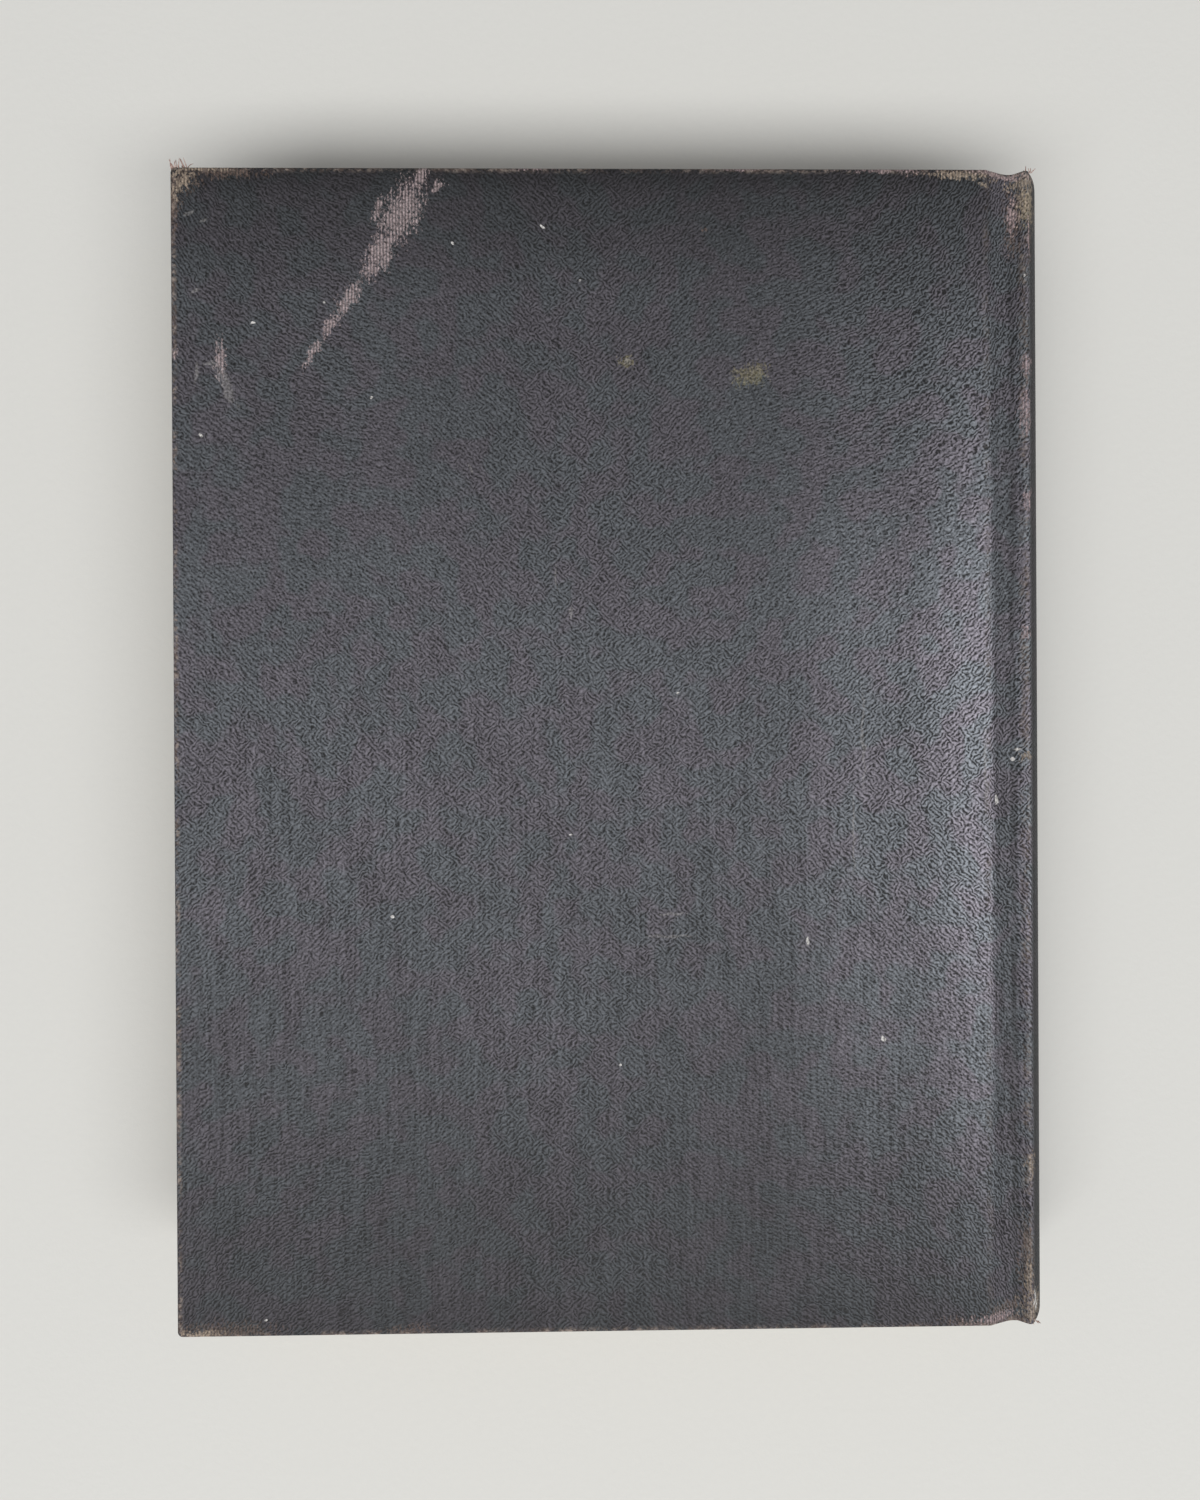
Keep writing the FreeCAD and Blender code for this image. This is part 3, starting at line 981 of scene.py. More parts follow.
        # Lightness with painted sheen and painted shade in it, and random clouds of tone.
        tone_and_painted_light = self.tone_and_painted_light(dye, x, y, v) * (1.0 + (clouds - 0.5) * self.cloudiness)
        streaks = strands * (self.streak + self.streak_tail.of(y) + self.streak_joint.of(x))
        contrast = self.contrast + self.contrast_joint.of(x)
        speckle = 1.0 + (height - 0.5) * contrast + (fine - 0.5) * self.speck_contrast + streaks
        colour = dye.scaled(colour, tone_and_painted_light * speckle.upper(self.darkest))
        worn = self.edge_wear(dye, x, y, v, weave)
        bare = dye.mix(self.hue.of(dye.noise(weave, Pattern.BARE_PATCHES)), self.bare_dark, self.bare_light)
        colour = dye.mix(worn * self.bareness, colour, bare)
        if self.zone:
            colour, stained = self.stained(dye, colour, rest, weave, fine)
            worn = worn.upper(stained)
        dye.colour(colour)
        clean, when_worn, specks = self.shine
        dye.roughness(clean + worn * when_worn + (fine - 0.5) * specks)
        dye.bump(height, self.bump_depth)
        return dye.material

    def edge_wear(self, dye: Dye, x: Wire, y: Wire, v: Wire, weave: Wire) -> Wire:
        """Share of the nap rubbed off along the cover's edges, the joint's edge and the ridge.

        Args:
            dye: Maker of the nodes.
            x: Place across the cover.
            y: Place along the cover.
            v: Height.
            weave: Place on the flat sheet.

        Returns:
            The share.
        """
        nap = dye.noise(weave, Pattern.RUBBED_PATCHES) + dye.noise(weave, Pattern.RUBBED_NAP)
        rim = self.rim_ends.of(y.size()).upper(self.rim_fore.of(x))
        ridge = self.rim_ridge.of(x) * self.shoulder.of(v.size())
        return ((rim + self.rim_joint.of(x) + ridge) * self.rubbed.of(nap)).held()


@dataclass(frozen=True)
class AgedPaper:
    """Cream paper, browned towards its edges, with soft fibres and foxing."""

    name: str = "aged_paper"
    base: Colour = (0.62, 0.54, 0.40)
    brown: Colour = (0.40, 0.29, 0.17)
    fox: Colour = (0.34, 0.21, 0.10)
    end_browning: Step = Step(96.0, 123.0, 0.75)
    fore_browning: Step = Step(-152.0, -179.0, 0.75)
    foxing: Step = Step(0.68, 0.76, 0.4)
    cloudiness: float = 0.8
    least_brown: float = 0.06
    fibres: tuple[float, float] = (0.93, 0.14)
    bump_depth: float = 0.02

    def material(self) -> bpy.types.Material:
        """Material of the paper.

        Returns:
            The material.
        """
        dye = Dye(self.name, roughness=0.88, specular=0.3)
        rest = dye.attribute("rest")
        x, y, _ = dye.parts(rest)
        clouds = dye.noise(rest, Pattern.PAPER_TONE)
        fibre = dye.noise(rest, Pattern.PAPER_FIBRE)
        edge = self.end_browning.of(y.size()).upper(self.fore_browning.of(x))
        brown = (edge + (clouds - 0.5) * self.cloudiness + self.least_brown).held()
        colour = dye.mix(brown, self.base, self.brown)
        colour = dye.mix(self.foxing.of(dye.noise(rest, Pattern.PAPER_FOXING)), colour, self.fox)
        least, more = self.fibres
        dye.colour(dye.scaled(colour, least + fibre * more))
        dye.bump(fibre, self.bump_depth)
        return dye.material


@dataclass(frozen=True)
class PageEdges:
    """Edges of the leaves seen as fine lines, dusty at the head, with painted shade between the sections."""

    name: str = "page_edges"
    base: Colour = (0.56, 0.47, 0.33)
    dust: Colour = (0.27, 0.21, 0.15)
    leaf: float = 0.17
    wander: float = 0.5
    streak_stretch: float = 9.0
    layer_stretch: float = 2.0
    head_dust: Step = Step(112.0, 122.5, 0.3)
    blotch_middle: float = 0.38
    dust_share: float = 0.9
    darkest: float = 0.8
    lines: float = 0.2
    streaks: float = 0.5
    layers: float = 0.7
    # Painted shade in the gaps between the sections.
    gap: Step = Step(0.86, 1.0, 0.3)
    bump_depth: float = 0.06

    def material(self) -> bpy.types.Material:
        """Material of the pages.

        Returns:
            The material.
        """
        dye = Dye(self.name, roughness=0.9, specular=0.25)
        rest = dye.attribute("rest")
        depth, section, _ = dye.parts(dye.attribute("leaf"))
        x, y, _ = dye.parts(rest)
        wander = (dye.noise(rest, Pattern.LEAF_WANDER) - 0.5) * self.wander
        lines = ((depth + wander) * (math.pi / self.leaf)).sine() * 0.5 + 0.5
        streak = dye.noise(dye.joined(x, y, depth * self.streak_stretch), Pattern.LEAF_STREAKS)
        layers = dye.noise(dye.joined(x, y, depth * self.layer_stretch), Pattern.LEAF_LAYERS)
        blotch = dye.noise(rest, Pattern.EDGE_BLOTCHES) - self.blotch_middle
        dusty = (self.head_dust.of(y) + (blotch + streak - 0.5) * self.dust_share).held()
        colour = dye.mix(dusty, self.base, self.dust)
        shade = self.darkest + lines * self.lines + (streak - 0.5) * self.streaks
        # The gap step takes away painted shade between the sections.
        shade = shade + (layers - 0.5) * self.layers - self.gap.of(section)
        dye.colour(dye.scaled(colour, shade))
        dye.bump((lines + streak) * 0.5, self.bump_depth)
        return dye.material


@dataclass(frozen=True)
class Millboard:
    """Grey-brown board of pressed pulp with dark and light flecks."""

    name: str = "millboard"
    base: Colour = (0.24, 0.20, 0.155)
    pale: Colour = (0.33, 0.285, 0.23)
    dark: Colour = (0.10, 0.08, 0.065)
    pulp: Step = Step(0.3, 0.7)
    flecks: Step = Step(0.66, 0.74, 0.5)
    bump_depth: float = 0.08

    def material(self) -> bpy.types.Material:
        """Material of the boards and the spine strip.

        Returns:
            The material.
        """
        dye = Dye(self.name, roughness=0.92, specular=0.25)
        place = dye.object_mm()
        pulp = dye.noise(place, Pattern.BOARD_PULP)
        flecks = self.flecks.of(dye.noise(place, Pattern.BOARD_FLECKS))
        dye.colour(dye.mix(flecks, dye.mix(self.pulp.of(pulp), self.base, self.pale), self.dark))
        dye.bump(pulp, self.bump_depth)
        return dye.material


@dataclass(frozen=True)
class MullCloth:
    """Open, stiffened gauze that holds the pages to the boards."""

    name: str = "mull_gauze"
    base: Colour = (0.52, 0.46, 0.34)
    gaps: Colour = (0.20, 0.15, 0.09)
    glue: Colour = (0.33, 0.25, 0.14)
    pitch: float = 1.1
    thread: Step = Step(0.55, 0.9)
    glued: Step = Step(0.5, 0.7, 0.6)
    bump_depth: float = 0.15

    def material(self) -> bpy.types.Material:
        """Material of the mull.

        Returns:
            The material.
        """
        dye = Dye(self.name, roughness=0.9, specular=0.25)
        weave = dye.attribute("weave")
        s, u, _ = dye.parts(weave)
        turn = math.pi / self.pitch
        threads = (s * turn).sine().size().upper((u * turn).sine().size())
        colour = dye.mix(self.thread.of(threads), self.gaps, self.base)
        dye.colour(dye.mix(self.glued.of(dye.noise(weave, Pattern.MULL_GLUE)), colour, self.glue))
        dye.bump(threads, self.bump_depth)
        return dye.material


@dataclass
class WrapProfile:
    """How the cloth goes round the edge of a board, drawn across the edge.

    A level is a length of cloth past the flat face. Each level has a plan offset, 0 at the edge and negative
    inside it, and a share of the way from the outer face to the turned-in one. The line is two quarter
    circles joined by straight runs, then the turn-in.
    """

    corner: float = 1.15
    outer_round: float = 0.72
    inner_round: float = 0.5
    round_steps: int = 6
    thickness: float = BOOK.lining_depth
    turn_in: float = BOOK.turn_in
    turn_steps: int = 4
    levels: np.ndarray = field(init=False)
    offset: np.ndarray = field(init=False)
    share: np.ndarray = field(init=False)
    last_wrap: int = field(init=False)

    def __post_init__(self) -> None:
        """Works out the levels."""
        quarter = np.linspace(0, math.pi / 2, self.round_steps + 1)
        r, q, t = self.outer_round, self.inner_round, self.thickness
        outer = np.stack([-r + r * np.sin(quarter), r - r * np.cos(quarter)], axis=1)
        inner = np.stack([-q + q * np.cos(quarter), t - q + q * np.sin(quarter)], axis=1)
        line = np.vstack([[[-self.corner, 0.0]], outer, inner, [[-self.corner, t]]])
        inward = np.linspace(0, self.turn_in - self.corner, self.turn_steps + 1)[1:]
        line = np.vstack([line, np.stack([-self.corner - inward, np.full(len(inward), t)], axis=1)])
        self.levels = travelled(line)
        self.offset = line[:, 0]
        self.share = line[:, 1] / t
        self.last_wrap = len(line) - 1 - self.turn_steps


@dataclass
class CaseCloth:
    """One half of the cover cloth, from the turn-in at a fore-edge to the middle of the spine."""

    side: Side
    wrap: WrapProfile = field(default_factory=WrapProfile)
    face_step: float = 2.6
    joint_step: float = 0.42
    spine_step: float = 0.7
    ridge_blend: float = math.radians(5.0)
    groove_flat: float = 0.4
    groove_curve: float = 1.6
    notch: float = 0.15
    cap_drop: tuple[float, float] = (2.9, 3.4)
    warp: float = 0.12
    waves: tuple[float, float, float, float] = (31.0, 43.0, 17.0, 23.0)
    second_wave: float = 0.6
    calm_box: tuple[float, float, float] = (-178.0, -8.0, 118.0)
    calm_edge: float = 12.0
    dip_place: float = -2.0
    dip_width: float = 1.7
    slope_points: int = 25
    flank_points: int = 16
    turn_points: int = 8
    arc_points: int = 40
    lining_rise: tuple[tuple[float, float, float], ...] = (
        (-0.2, -0.2, 0.0), (0.25, 0.15, 0.3), (1.7, 1.4, 0.55))
    joint_lines: tuple[float, ...] = (4.0, 2.2, 1.2, 0.6, 0.25)
    end_lines: tuple[float, ...] = (0.004, 0.009, 0.016)

    def section(self) -> tuple[np.ndarray, np.ndarray]:
        """Outer and inner line of the cloth from the board's inner edge to the middle of the spine.

        The joint sinks as depth = board * (1 - (1 - share) ** curve), a cubic lifts it to the ridge, a second
        one leads into the circle of the spine, and that circle runs to the middle of the spine. The inner
        line lies on the lining level, up the shoulder, and on the turned-in cloth's circle. Each row of its
        rise is an outer place, the inner place across from it, and the height above the lining level.

        Returns:
            Two lists of (x, height) points, paired.
        """
        top = BOOK.half_thickness
        x = np.linspace(-BOOK.joint_width, -self.groove_flat, self.slope_points)
        share = (x + BOOK.joint_width) / (BOOK.joint_width - self.groove_flat)
        slope = np.stack([x, top - BOOK.board * (1 - (1 - share) ** self.groove_curve)], axis=1)
        ridge = (BOOK.shoulder_run, BOOK.ridge_height)
        run = ridge[0] - slope[-1, 0]
        flank = ease(slope[-1], (run, 0), ridge, (run, 0), self.flank_points)
        angle = math.asin(BOOK.ridge_height / BOOK.spine_radius) - self.ridge_blend
        joined = self.on_circle(BOOK.spine_radius, np.array([angle]))[0]
        reach = math.dist(ridge, joined)
        falling = (reach * math.sin(angle), -reach * math.cos(angle))
        turn = ease(ridge, (reach, 0), joined, falling, self.turn_points)
        arc = self.on_circle(BOOK.spine_radius, np.linspace(angle, 0, self.arc_points)[1:])
        near = even(np.vstack([slope, flank, turn]), self.joint_step)
        far = even(np.vstack([turn[-1:], arc]), self.spine_step)
        outer = np.vstack([near, far[1:]])
        lining = top - BOOK.lining_depth
        inner_end = self.on_circle(BOOK.turn_in_radius, np.array([angle]))[0]
        outer_keys, inner_keys, rises = np.array(self.lining_rise).T
        keys = [-BOOK.joint_width, *outer_keys, joined[0]]
        places = [-BOOK.joint_width, *inner_keys, inner_end[0]]
        heights = [lining, *(lining + rises), inner_end[1]]
        inner_near = np.stack([np.interp(near[:, 0], keys, column) for column in (places, heights)], axis=1)
        around = np.arctan2(far[1:, 1], far[1:, 0] - BOOK.spine_centre)
        inner_far = self.on_circle(BOOK.turn_in_radius, around)
        return outer, np.vstack([inner_near, inner_far])

    @staticmethod
    def on_circle(radius: float, angle: np.ndarray) -> np.ndarray:
        """Points of a circle round the spine's centre.

        Args:
            radius: Radius.
            angle: Angles above the middle of the spine.

        Returns:
            (x, height) points.
        """
        return np.stack([BOOK.spine_centre + radius * np.cos(angle), radius * np.sin(angle)], axis=1)

    def end_drop(self, x: np.ndarray, end: int) -> np.ndarray:
        """How far the cloth's end lies inside the cover's height: a dip in the joint and a rounded cap.

        The dip is a bell of the place along X. The cap is a quarter of an oval from the ridge outwards.

        Args:
            x: Places along X.
            end: 1 for the head and 0 for the tail.

        Returns:
            Distances.
        """
        dip = self.notch * np.exp(-((x - self.dip_place) / self.dip_width) ** 2)
        share = np.clip((x - BOOK.shoulder_run) / BOOK.spine_bulge, 0, 1)
        return dip + self.cap_drop[end] * (1 - np.sqrt(np.maximum(1 - share ** 2, 0.0)))

    def build(self) -> bpy.types.Object:
        """Mesh of the cloth.

        A grid of s, across the book, and u, along it. Past the flat face each way has a wrap level, and the
        higher of the two places the point: a ring round the board's corner with radius corner + offset,
        turned by the ratio of the two levels. The turn-ins end on the mitre, where both move in by the same
        distance.

        Returns:
            The piece, riding on pages and cover.
        """
        wrap, half = self.wrap, BOOK.half_height
        corner_x = BOOK.fore + wrap.corner
        board_end = -BOOK.joint_width
        outer, inner = self.section()
        face = np.linspace(corner_x, board_end, int((board_end - corner_x) / self.face_step) + 1)
        finer = board_end - np.array(self.joint_lines)
        face = np.sort(np.concatenate([face[1:-1], finer]))
        wraps = len(wrap.levels) - 1
        top, lining = BOOK.half_thickness, BOOK.half_thickness - BOOK.lining_depth
        outer_x = np.concatenate([np.full(wraps + 1, corner_x), face, outer[:, 0]])
        outer_v = np.concatenate([np.full(wraps + 1 + len(face), top), outer[:, 1]])
        inner_x = np.concatenate([np.full(wraps + 1, corner_x), face, inner[:, 0]])
        inner_v = np.concatenate([np.full(wraps + 1 + len(face), lining), inner[:, 1]])
        p = np.concatenate([np.arange(wraps, 0, -1), np.zeros(len(outer_x) - wraps, int)])[:, None]
        on_board = (np.arange(len(outer_x)) <= wraps + len(face))[:, None]

        steps = int(2 * half / self.face_step)
        across = np.linspace(-1, 1, steps + 1)
        close = 1 - np.array(self.end_lines)
        across = np.sort(np.concatenate([across, close, -close]))
        ends = np.ones(wraps)
        fraction = np.concatenate([-ends, across, ends])[None, :]
        inwards = np.arange(1, wraps + 1)
        q = np.concatenate([inwards[::-1], np.zeros(len(across), int), inwards])[None, :]

        level = np.maximum(p, q)
        ring = wrap.corner + wrap.offset[level]
        radius = np.maximum(ring, 0.0)
        inward = np.maximum(-ring, 0.0) * (level > wrap.last_wrap)
        share = wrap.share[level]
        p_mm, q_mm = wrap.levels[p], wrap.levels[q]
        ratio = np.minimum(p_mm, q_mm) / np.maximum(np.maximum(p_mm, q_mm), TINY)
        turn = np.where(p >= q, ratio, 2 - ratio) * math.pi / 4
        turn = np.where((p == 0) & (q > 0), math.pi / 2, turn)

        base_x, base_v = outer_x[:, None], outer_v[:, None]
        x = base_x + share * (inner_x[:, None] - base_x)
        v = base_v + share * (inner_v[:, None] - base_v)
        length = board_end - corner_x
        x = np.where(on_board, board_end - (board_end - x) * (1 - inward / length), x)
        x = x - radius * np.cos(turn) * (p > 0)
        drop = np.where(fraction > 0, self.end_drop(base_x, 1), self.end_drop(base_x, 0))
        reach = half - drop - wrap.corner
        y = fraction * (reach - inward) + np.sign(fraction) * radius * np.sin(turn) * (q > 0)
        v = v + self.relief(x, y) * (1 - share) * on_board * (level == 0)

        surface = Surface(f"{self.side.label}_cover_cloth", x, y, self.side.value * v)
        s_level = np.concatenate([np.full(wraps + 1, corner_x), face, board_end + travelled(outer)])
        s_flat = s_level[:, None] - p_mm
        u_flat = fraction * (half - wrap.corner) + np.sign(fraction) * q_mm
        s_flat, u_flat = np.broadcast_arrays(s_flat, u_flat)
        weave = np.stack([s_flat, u_flat, np.zeros_like(s_flat)], axis=-1)
        # The piece.
        piece = surface.build(self.side is Side.FRONT, weave)
        return thicken(piece, BOOK.cloth)

    def relief(self, x: np.ndarray, y: np.ndarray) -> np.ndarray:
        """Slight unevenness of the outer face: slow waves, never above the board's level.

        Args:
            x: Places across the cover.
            y: Places along the cover.

        Returns:
            Heights to add, all of them negative.
        """
        first_x, first_y, second_x, second_y = self.waves
        waves = np.sin(x / first_x + 1.0) * np.cos(y / first_y)
        waves = waves + self.second_wave * np.sin(x / second_x - y / second_y)
        left, right, end = self.calm_box
        calm = math.prod(smooth(edge / self.calm_edge) for edge in (right - x, x - left, end - np.abs(y)))
        return -self.warp * 0.5 * (1 + waves / (1 + self.second_wave)) * calm


@dataclass(frozen=True)
class FrayedThread:
    """Rubbed, browned thread of the cloth's base."""

    name: str = "frayed_thread"
    base: Colour = (0.27, 0.165, 0.14)
    light: Colour = (0.52, 0.39, 0.35)
    lit: Step = Step(0.35, 0.65)
    bump_depth: float = 0.02

    def material(self) -> bpy.types.Material:
        """Material of the threads.

        Returns:
            The material.
        """
        dye = Dye(self.name, roughness=0.9, specular=0.2)
        twist = dye.noise(dye.attribute("rest"), Pattern.THREAD_TWIST)
        dye.colour(dye.mix(self.lit.of(twist), self.base, self.light))
        dye.bump(twist, self.bump_depth)
        return dye.material


@dataclass
class ThreadTuft:
    """Short threads that stand out where the cloth has worn through at an edge."""

    name: str
    centre: tuple[float, float, float]
    spread: tuple[float, float, float]
    heading: tuple[float, float, float]
    count: int
    length: tuple[float, float]
    radius: float = 0.14
    steps: int = 10
    sides: int = 6
    seed: int = 3
    scatter: float = 0.45
    taper: float = 0.6

    def build(self) -> bpy.types.Object:
        """Mesh of the threads.

        Each one runs straight from its root, with a bend that grows with the square of the way along it. The
        ring round that line narrows towards the tip, and closes to a point at both ends.

        Returns:
            The piece.
        """
        rng = np.random.default_rng(self.seed)
        root = np.array(self.centre) + rng.uniform(-1, 1, (self.count, 3)) * self.spread
        way = np.array(self.heading) + rng.uniform(-self.scatter, self.scatter, (self.count, 3))
        way /= np.linalg.norm(way, axis=1, keepdims=True)
        bend = rng.uniform(-self.scatter, self.scatter, (self.count, 3))
        length = rng.uniform(*self.length, self.count)[:, None, None]
        t = np.linspace(0, 1, self.steps)[None, :, None]
        line = root[:, None] + length * (way[:, None] * t + bend[:, None] * t ** 2)
        along = np.gradient(line, axis=1)
        along /= np.linalg.norm(along, axis=2, keepdims=True)
        side = np.cross(along, (0.0, 0.0, 1.0))
        side /= np.linalg.norm(side, axis=2, keepdims=True)
        over = np.cross(along, side)
        thick = (self.radius * (1 - self.taper * t) * ((t > 0) & (t < 1)))[:, None]
        angle = np.linspace(0, 2 * math.pi, self.sides, endpoint=False)[None, :, None, None]
        ring = line[:, None] + thick * (np.cos(angle) * side[:, None] + np.sin(angle) * over[:, None])
        tube = Surface.quads(self.sides, self.steps, closed=True)
        first = np.arange(self.count)[:, None, None] * (self.sides * self.steps)
        return Surface.mesh(self.name, ring.reshape(-1, 3), (tube[None] + first).reshape(-1, 4))


@dataclass
class MullSheet:
    """One half of the mull, from its edge on a board to the middle of the back of the pages."""

    side: Side
    half_height: float = 109.5
    step: float = 1.4
    joint_step: float = 0.2
    joint_share: float = 0.08
    rows: int = 80
    arc_points: int = 20
    board_gap: float = 0.5
    shoulder_gap: tuple[float, float] = (0.15, 0.3)
    bend: tuple[tuple[float, float], ...] = ((-0.5, 0.0), (0.25, 0.15))

    def build(self) -> bpy.types.Object:
        """Mesh of the gauze: a line through flange, joint, shoulder and back, carried along Y.

        Returns:
            The piece.
        """
        outer = BOOK.half_thickness - BOOK.lining_depth + BOOK.cloth
        radius = BOOK.block_radius + BOOK.cloth
        flange = -BOOK.joint_width - BOOK.mull_flange
        foot = (BOOK.shoulder_place - self.shoulder_gap[0], BOOK.shoulder_height + self.shoulder_gap[1])
        arc = CaseCloth.on_circle(radius, np.linspace(math.asin(foot[1] / radius), 0, self.arc_points))
        joint = -BOOK.joint_width - self.board_gap
        level = even(np.array([[flange, outer], [joint, outer]]), self.step)
        rise = [(x, outer + lift) for x, lift in self.bend]
        bent = even(np.array([(joint, outer), *rise, foot]), self.joint_step)
        line = np.vstack([level, bent[1:], even(arc, self.step)[1:]])
        y = np.linspace(-self.half_height, self.half_height, self.rows)[None, :]
        s = travelled(line)[:, None]
        piece = Surface(f"{self.side.label}_mull", line[:, :1], y, self.side.value * line[:, 1:])
        flat = np.broadcast_arrays(s, y, np.zeros((1, 1)))
        sheet = thicken(piece.build(self.side is Side.FRONT, np.stack(flat, axis=-1)), BOOK.cloth)
        thin_between(sheet, joint, foot[0], self.joint_share)
        return sheet


@dataclass
class EndpaperLeaf:
    """Pasted and free half of one folded endpaper."""

    side: Side
    step: float = 2.5
    rows: int = 98
    face_columns: int = 70
    strip_columns: int = 33
    free_columns: int = 72
    board_gap: float = 0.2
    sink_gap: float = 0.05
    free_start: float = 0.8
    fold_line: tuple[tuple[float, float], ...] = ((-0.12, 0.1), (0.0, 0.02), (0.02, -0.12), (-0.25, -0.16))

    def pasted(self) -> bpy.types.Object:
        """Leaf pasted on the board, with its strip through the joint to the fold.

        The face is flat at the lining level and sinks by nearly the cloth's thickness inside the turned-in
        edges and the mull, with a slope that starts a little inside them: the least of the distances to the
        four sides, eased.

        Returns:
            The piece.
        """
        start, end = BOOK.fore + BOOK.pastedown_inset, -BOOK.joint_width - self.board_gap
        face = np.linspace(start, end, self.face_columns)
        strip = np.linspace(-BOOK.joint_width, -BOOK.root_setback - BOOK.paper, self.strip_columns)
        x = np.concatenate([face, strip])[:, None]
        half = BOOK.half_height - BOOK.pastedown_inset
        y = np.linspace(-half, half, self.rows)[None, :]
        inner_y = BOOK.half_height - BOOK.turn_in
        flange = -BOOK.joint_width - BOOK.mull_flange
        inside = np.minimum(np.minimum(x - (BOOK.fore + BOOK.turn_in), flange - x), inner_y - np.abs(y))
        sink = (BOOK.cloth - self.sink_gap) * smooth((inside - self.step) / self.step)
        v = BOOK.half_thickness - BOOK.lining_depth - BOOK.paper + sink
        leaf = Surface(f"{self.side.label}_pastedown_leaf", x, y, self.side.value * v)
        return thicken(leaf.build(self.side is Side.BACK), BOOK.paper)

    def free(self) -> bpy.types.Object:
        """Free leaf on the pages, from its fold at the root to the fore-edge.

        Returns:
            The piece.
        """
        fold = -BOOK.root_setback
        top = BOOK.half_thickness - BOOK.lining_depth - BOOK.paper
        turn = np.array(self.fold_line) + (fold, top)
        x = np.linspace(fold - self.free_start, BOOK.fore + BOOK.square, self.free_columns)
        line = np.vstack([turn, np.stack([x, np.full_like(x, top - BOOK.leaf_gap)], axis=1)])
        half = BOOK.half_height - BOOK.square
        y = np.linspace(-half, half, self.rows)[None, :]
        leaf = Surface(f"{self.side.label}_flyleaf_leaf", line[:, :1], y, self.side.value * line[:, 1:])
        return thicken(leaf.build(self.side is Side.BACK), BOOK.paper)


@dataclass
class Pages:
    """Sewn sections of leaves with a rounded back and a hollow fore-edge."""

    sections: int = 24
    rows: int = 5
    columns: int = 46
    along: int = 60
    uneven: float = 0.12
    groove: float = 0.10
    seed: int = 7
    fan: int = 6
    edge_fade: float = 60.0
    sharp: float = math.radians(35.0)

    def build(self) -> bpy.types.Object:
        """Closed mesh of the pages.

        A leaf is a line at w, from -1 to 1 through the thickness. It runs level from the hollow fore-edge to
        the root at height w * block / 2, and fans out from there to the point of the back's circle at height
        w * shoulder height. The head and tail are grids of w and the way along the leaf. The rest is the
        outline of that grid carried along Y. Each section is set in or out by its own small distance, and a
        groove that follows a cosine parts it from the next.

        Returns:
            The piece.
        """
        rng = np.random.default_rng(self.seed)
        count = self.sections * self.rows
        w = np.linspace(-1, 1, count + 1)
        phase = (w + 1) / 2 * self.sections
        number = np.minimum(phase.astype(int), self.sections - 1)
        gap = 0.5 + 0.5 * np.cos(2 * math.pi * phase)
        shifts = rng.uniform(-1, 1, (3, self.sections)) * self.uneven
        inset = [s[number] * (1 - gap) - self.groove * gap - self.uneven for s in shifts]
        half = BOOK.block / 2
        left = BOOK.fore + BOOK.square + BOOK.fore_hollow * (1 - w ** 2) - inset[0]
        root = np.full_like(w, -BOOK.root_setback)
        back_v = BOOK.shoulder_height * w
        back_x = BOOK.spine_centre + np.sqrt(BOOK.block_radius ** 2 - back_v ** 2)
        main = self.columns - self.fan
        flat_share = smooth(np.linspace(0, 1, main))[:, None]
        fan_share = np.linspace(0, 1, self.fan + 1)[1:, None]
        level_v = half * w
        x = np.vstack([left + (root - left) * flat_share, root + (back_x - root) * fan_share])
        v = np.vstack([np.repeat(level_v[None, :], main, axis=0), level_v + (back_v - level_v) * fan_share])
        reach = BOOK.half_height - BOOK.square
        head = np.broadcast_to(reach + inset[1], x.shape)
        tail = np.broadcast_to(-reach - inset[2], x.shape)
        edge_fade = smooth((1 - np.abs(w)) * self.edge_fade)
        head = reach + (head - reach) * edge_fade
        tail = -reach + (tail + reach) * edge_fade

        rows, columns = x.shape
        index = np.arange(rows * columns).reshape(rows, columns)
        loop = np.concatenate([index[:-1, 0], index[-1, :-1], index[:0:-1, -1], index[0, :0:-1]])
        share = smooth(np.linspace(0, 1, self.along))[:, None]
        y_loop = tail.ravel()[loop] + (head - tail).ravel()[loop] * share
        cap = np.stack([x, head, v], axis=-1).reshape(-1, 3)
        foot = np.stack([x, tail, v], axis=-1).reshape(-1, 3)
        body = np.stack(np.broadcast_arrays(x.ravel()[loop], y_loop, v.ravel()[loop]), axis=-1).reshape(-1, 3)
        leaf = np.stack(np.broadcast_arrays(w * half, gap, 0 * w), axis=-1)
        leaf = np.broadcast_to(leaf, (rows, columns, 3)).reshape(-1, 3)
        around = np.broadcast_to(leaf[loop], (self.along, len(loop), 3)).reshape(-1, 3)
        cap_faces = Surface.quads(rows, columns)
        ring = np.arange(self.along * len(loop)).reshape(self.along, len(loop))
        wide = np.hstack([ring, ring[:, :1]])
        a, b, c, d = wide[:-1, :-1], wide[:-1, 1:], wide[1:, 1:], wide[1:, :-1]
        side_faces = np.stack([a, b, c, d], axis=-1).reshape(-1, 4)
        points = np.vstack([cap, foot, body])
        size = rows * columns
        faces = np.vstack([cap_faces[:, ::-1], cap_faces + size, side_faces[:, ::-1] + 2 * size])
        kept = {"leaf": np.vstack([leaf, leaf, around])}
        piece = Surface.mesh("page_block", points, faces, kept)
        work = bmesh.new()
        work.from_mesh(piece.data)
        bmesh.ops.recalc_face_normals(work, faces=work.faces)
        work.to_mesh(piece.data)
        work.free()
        piece.data.set_sharp_from_angle(angle=self.sharp)
        return piece


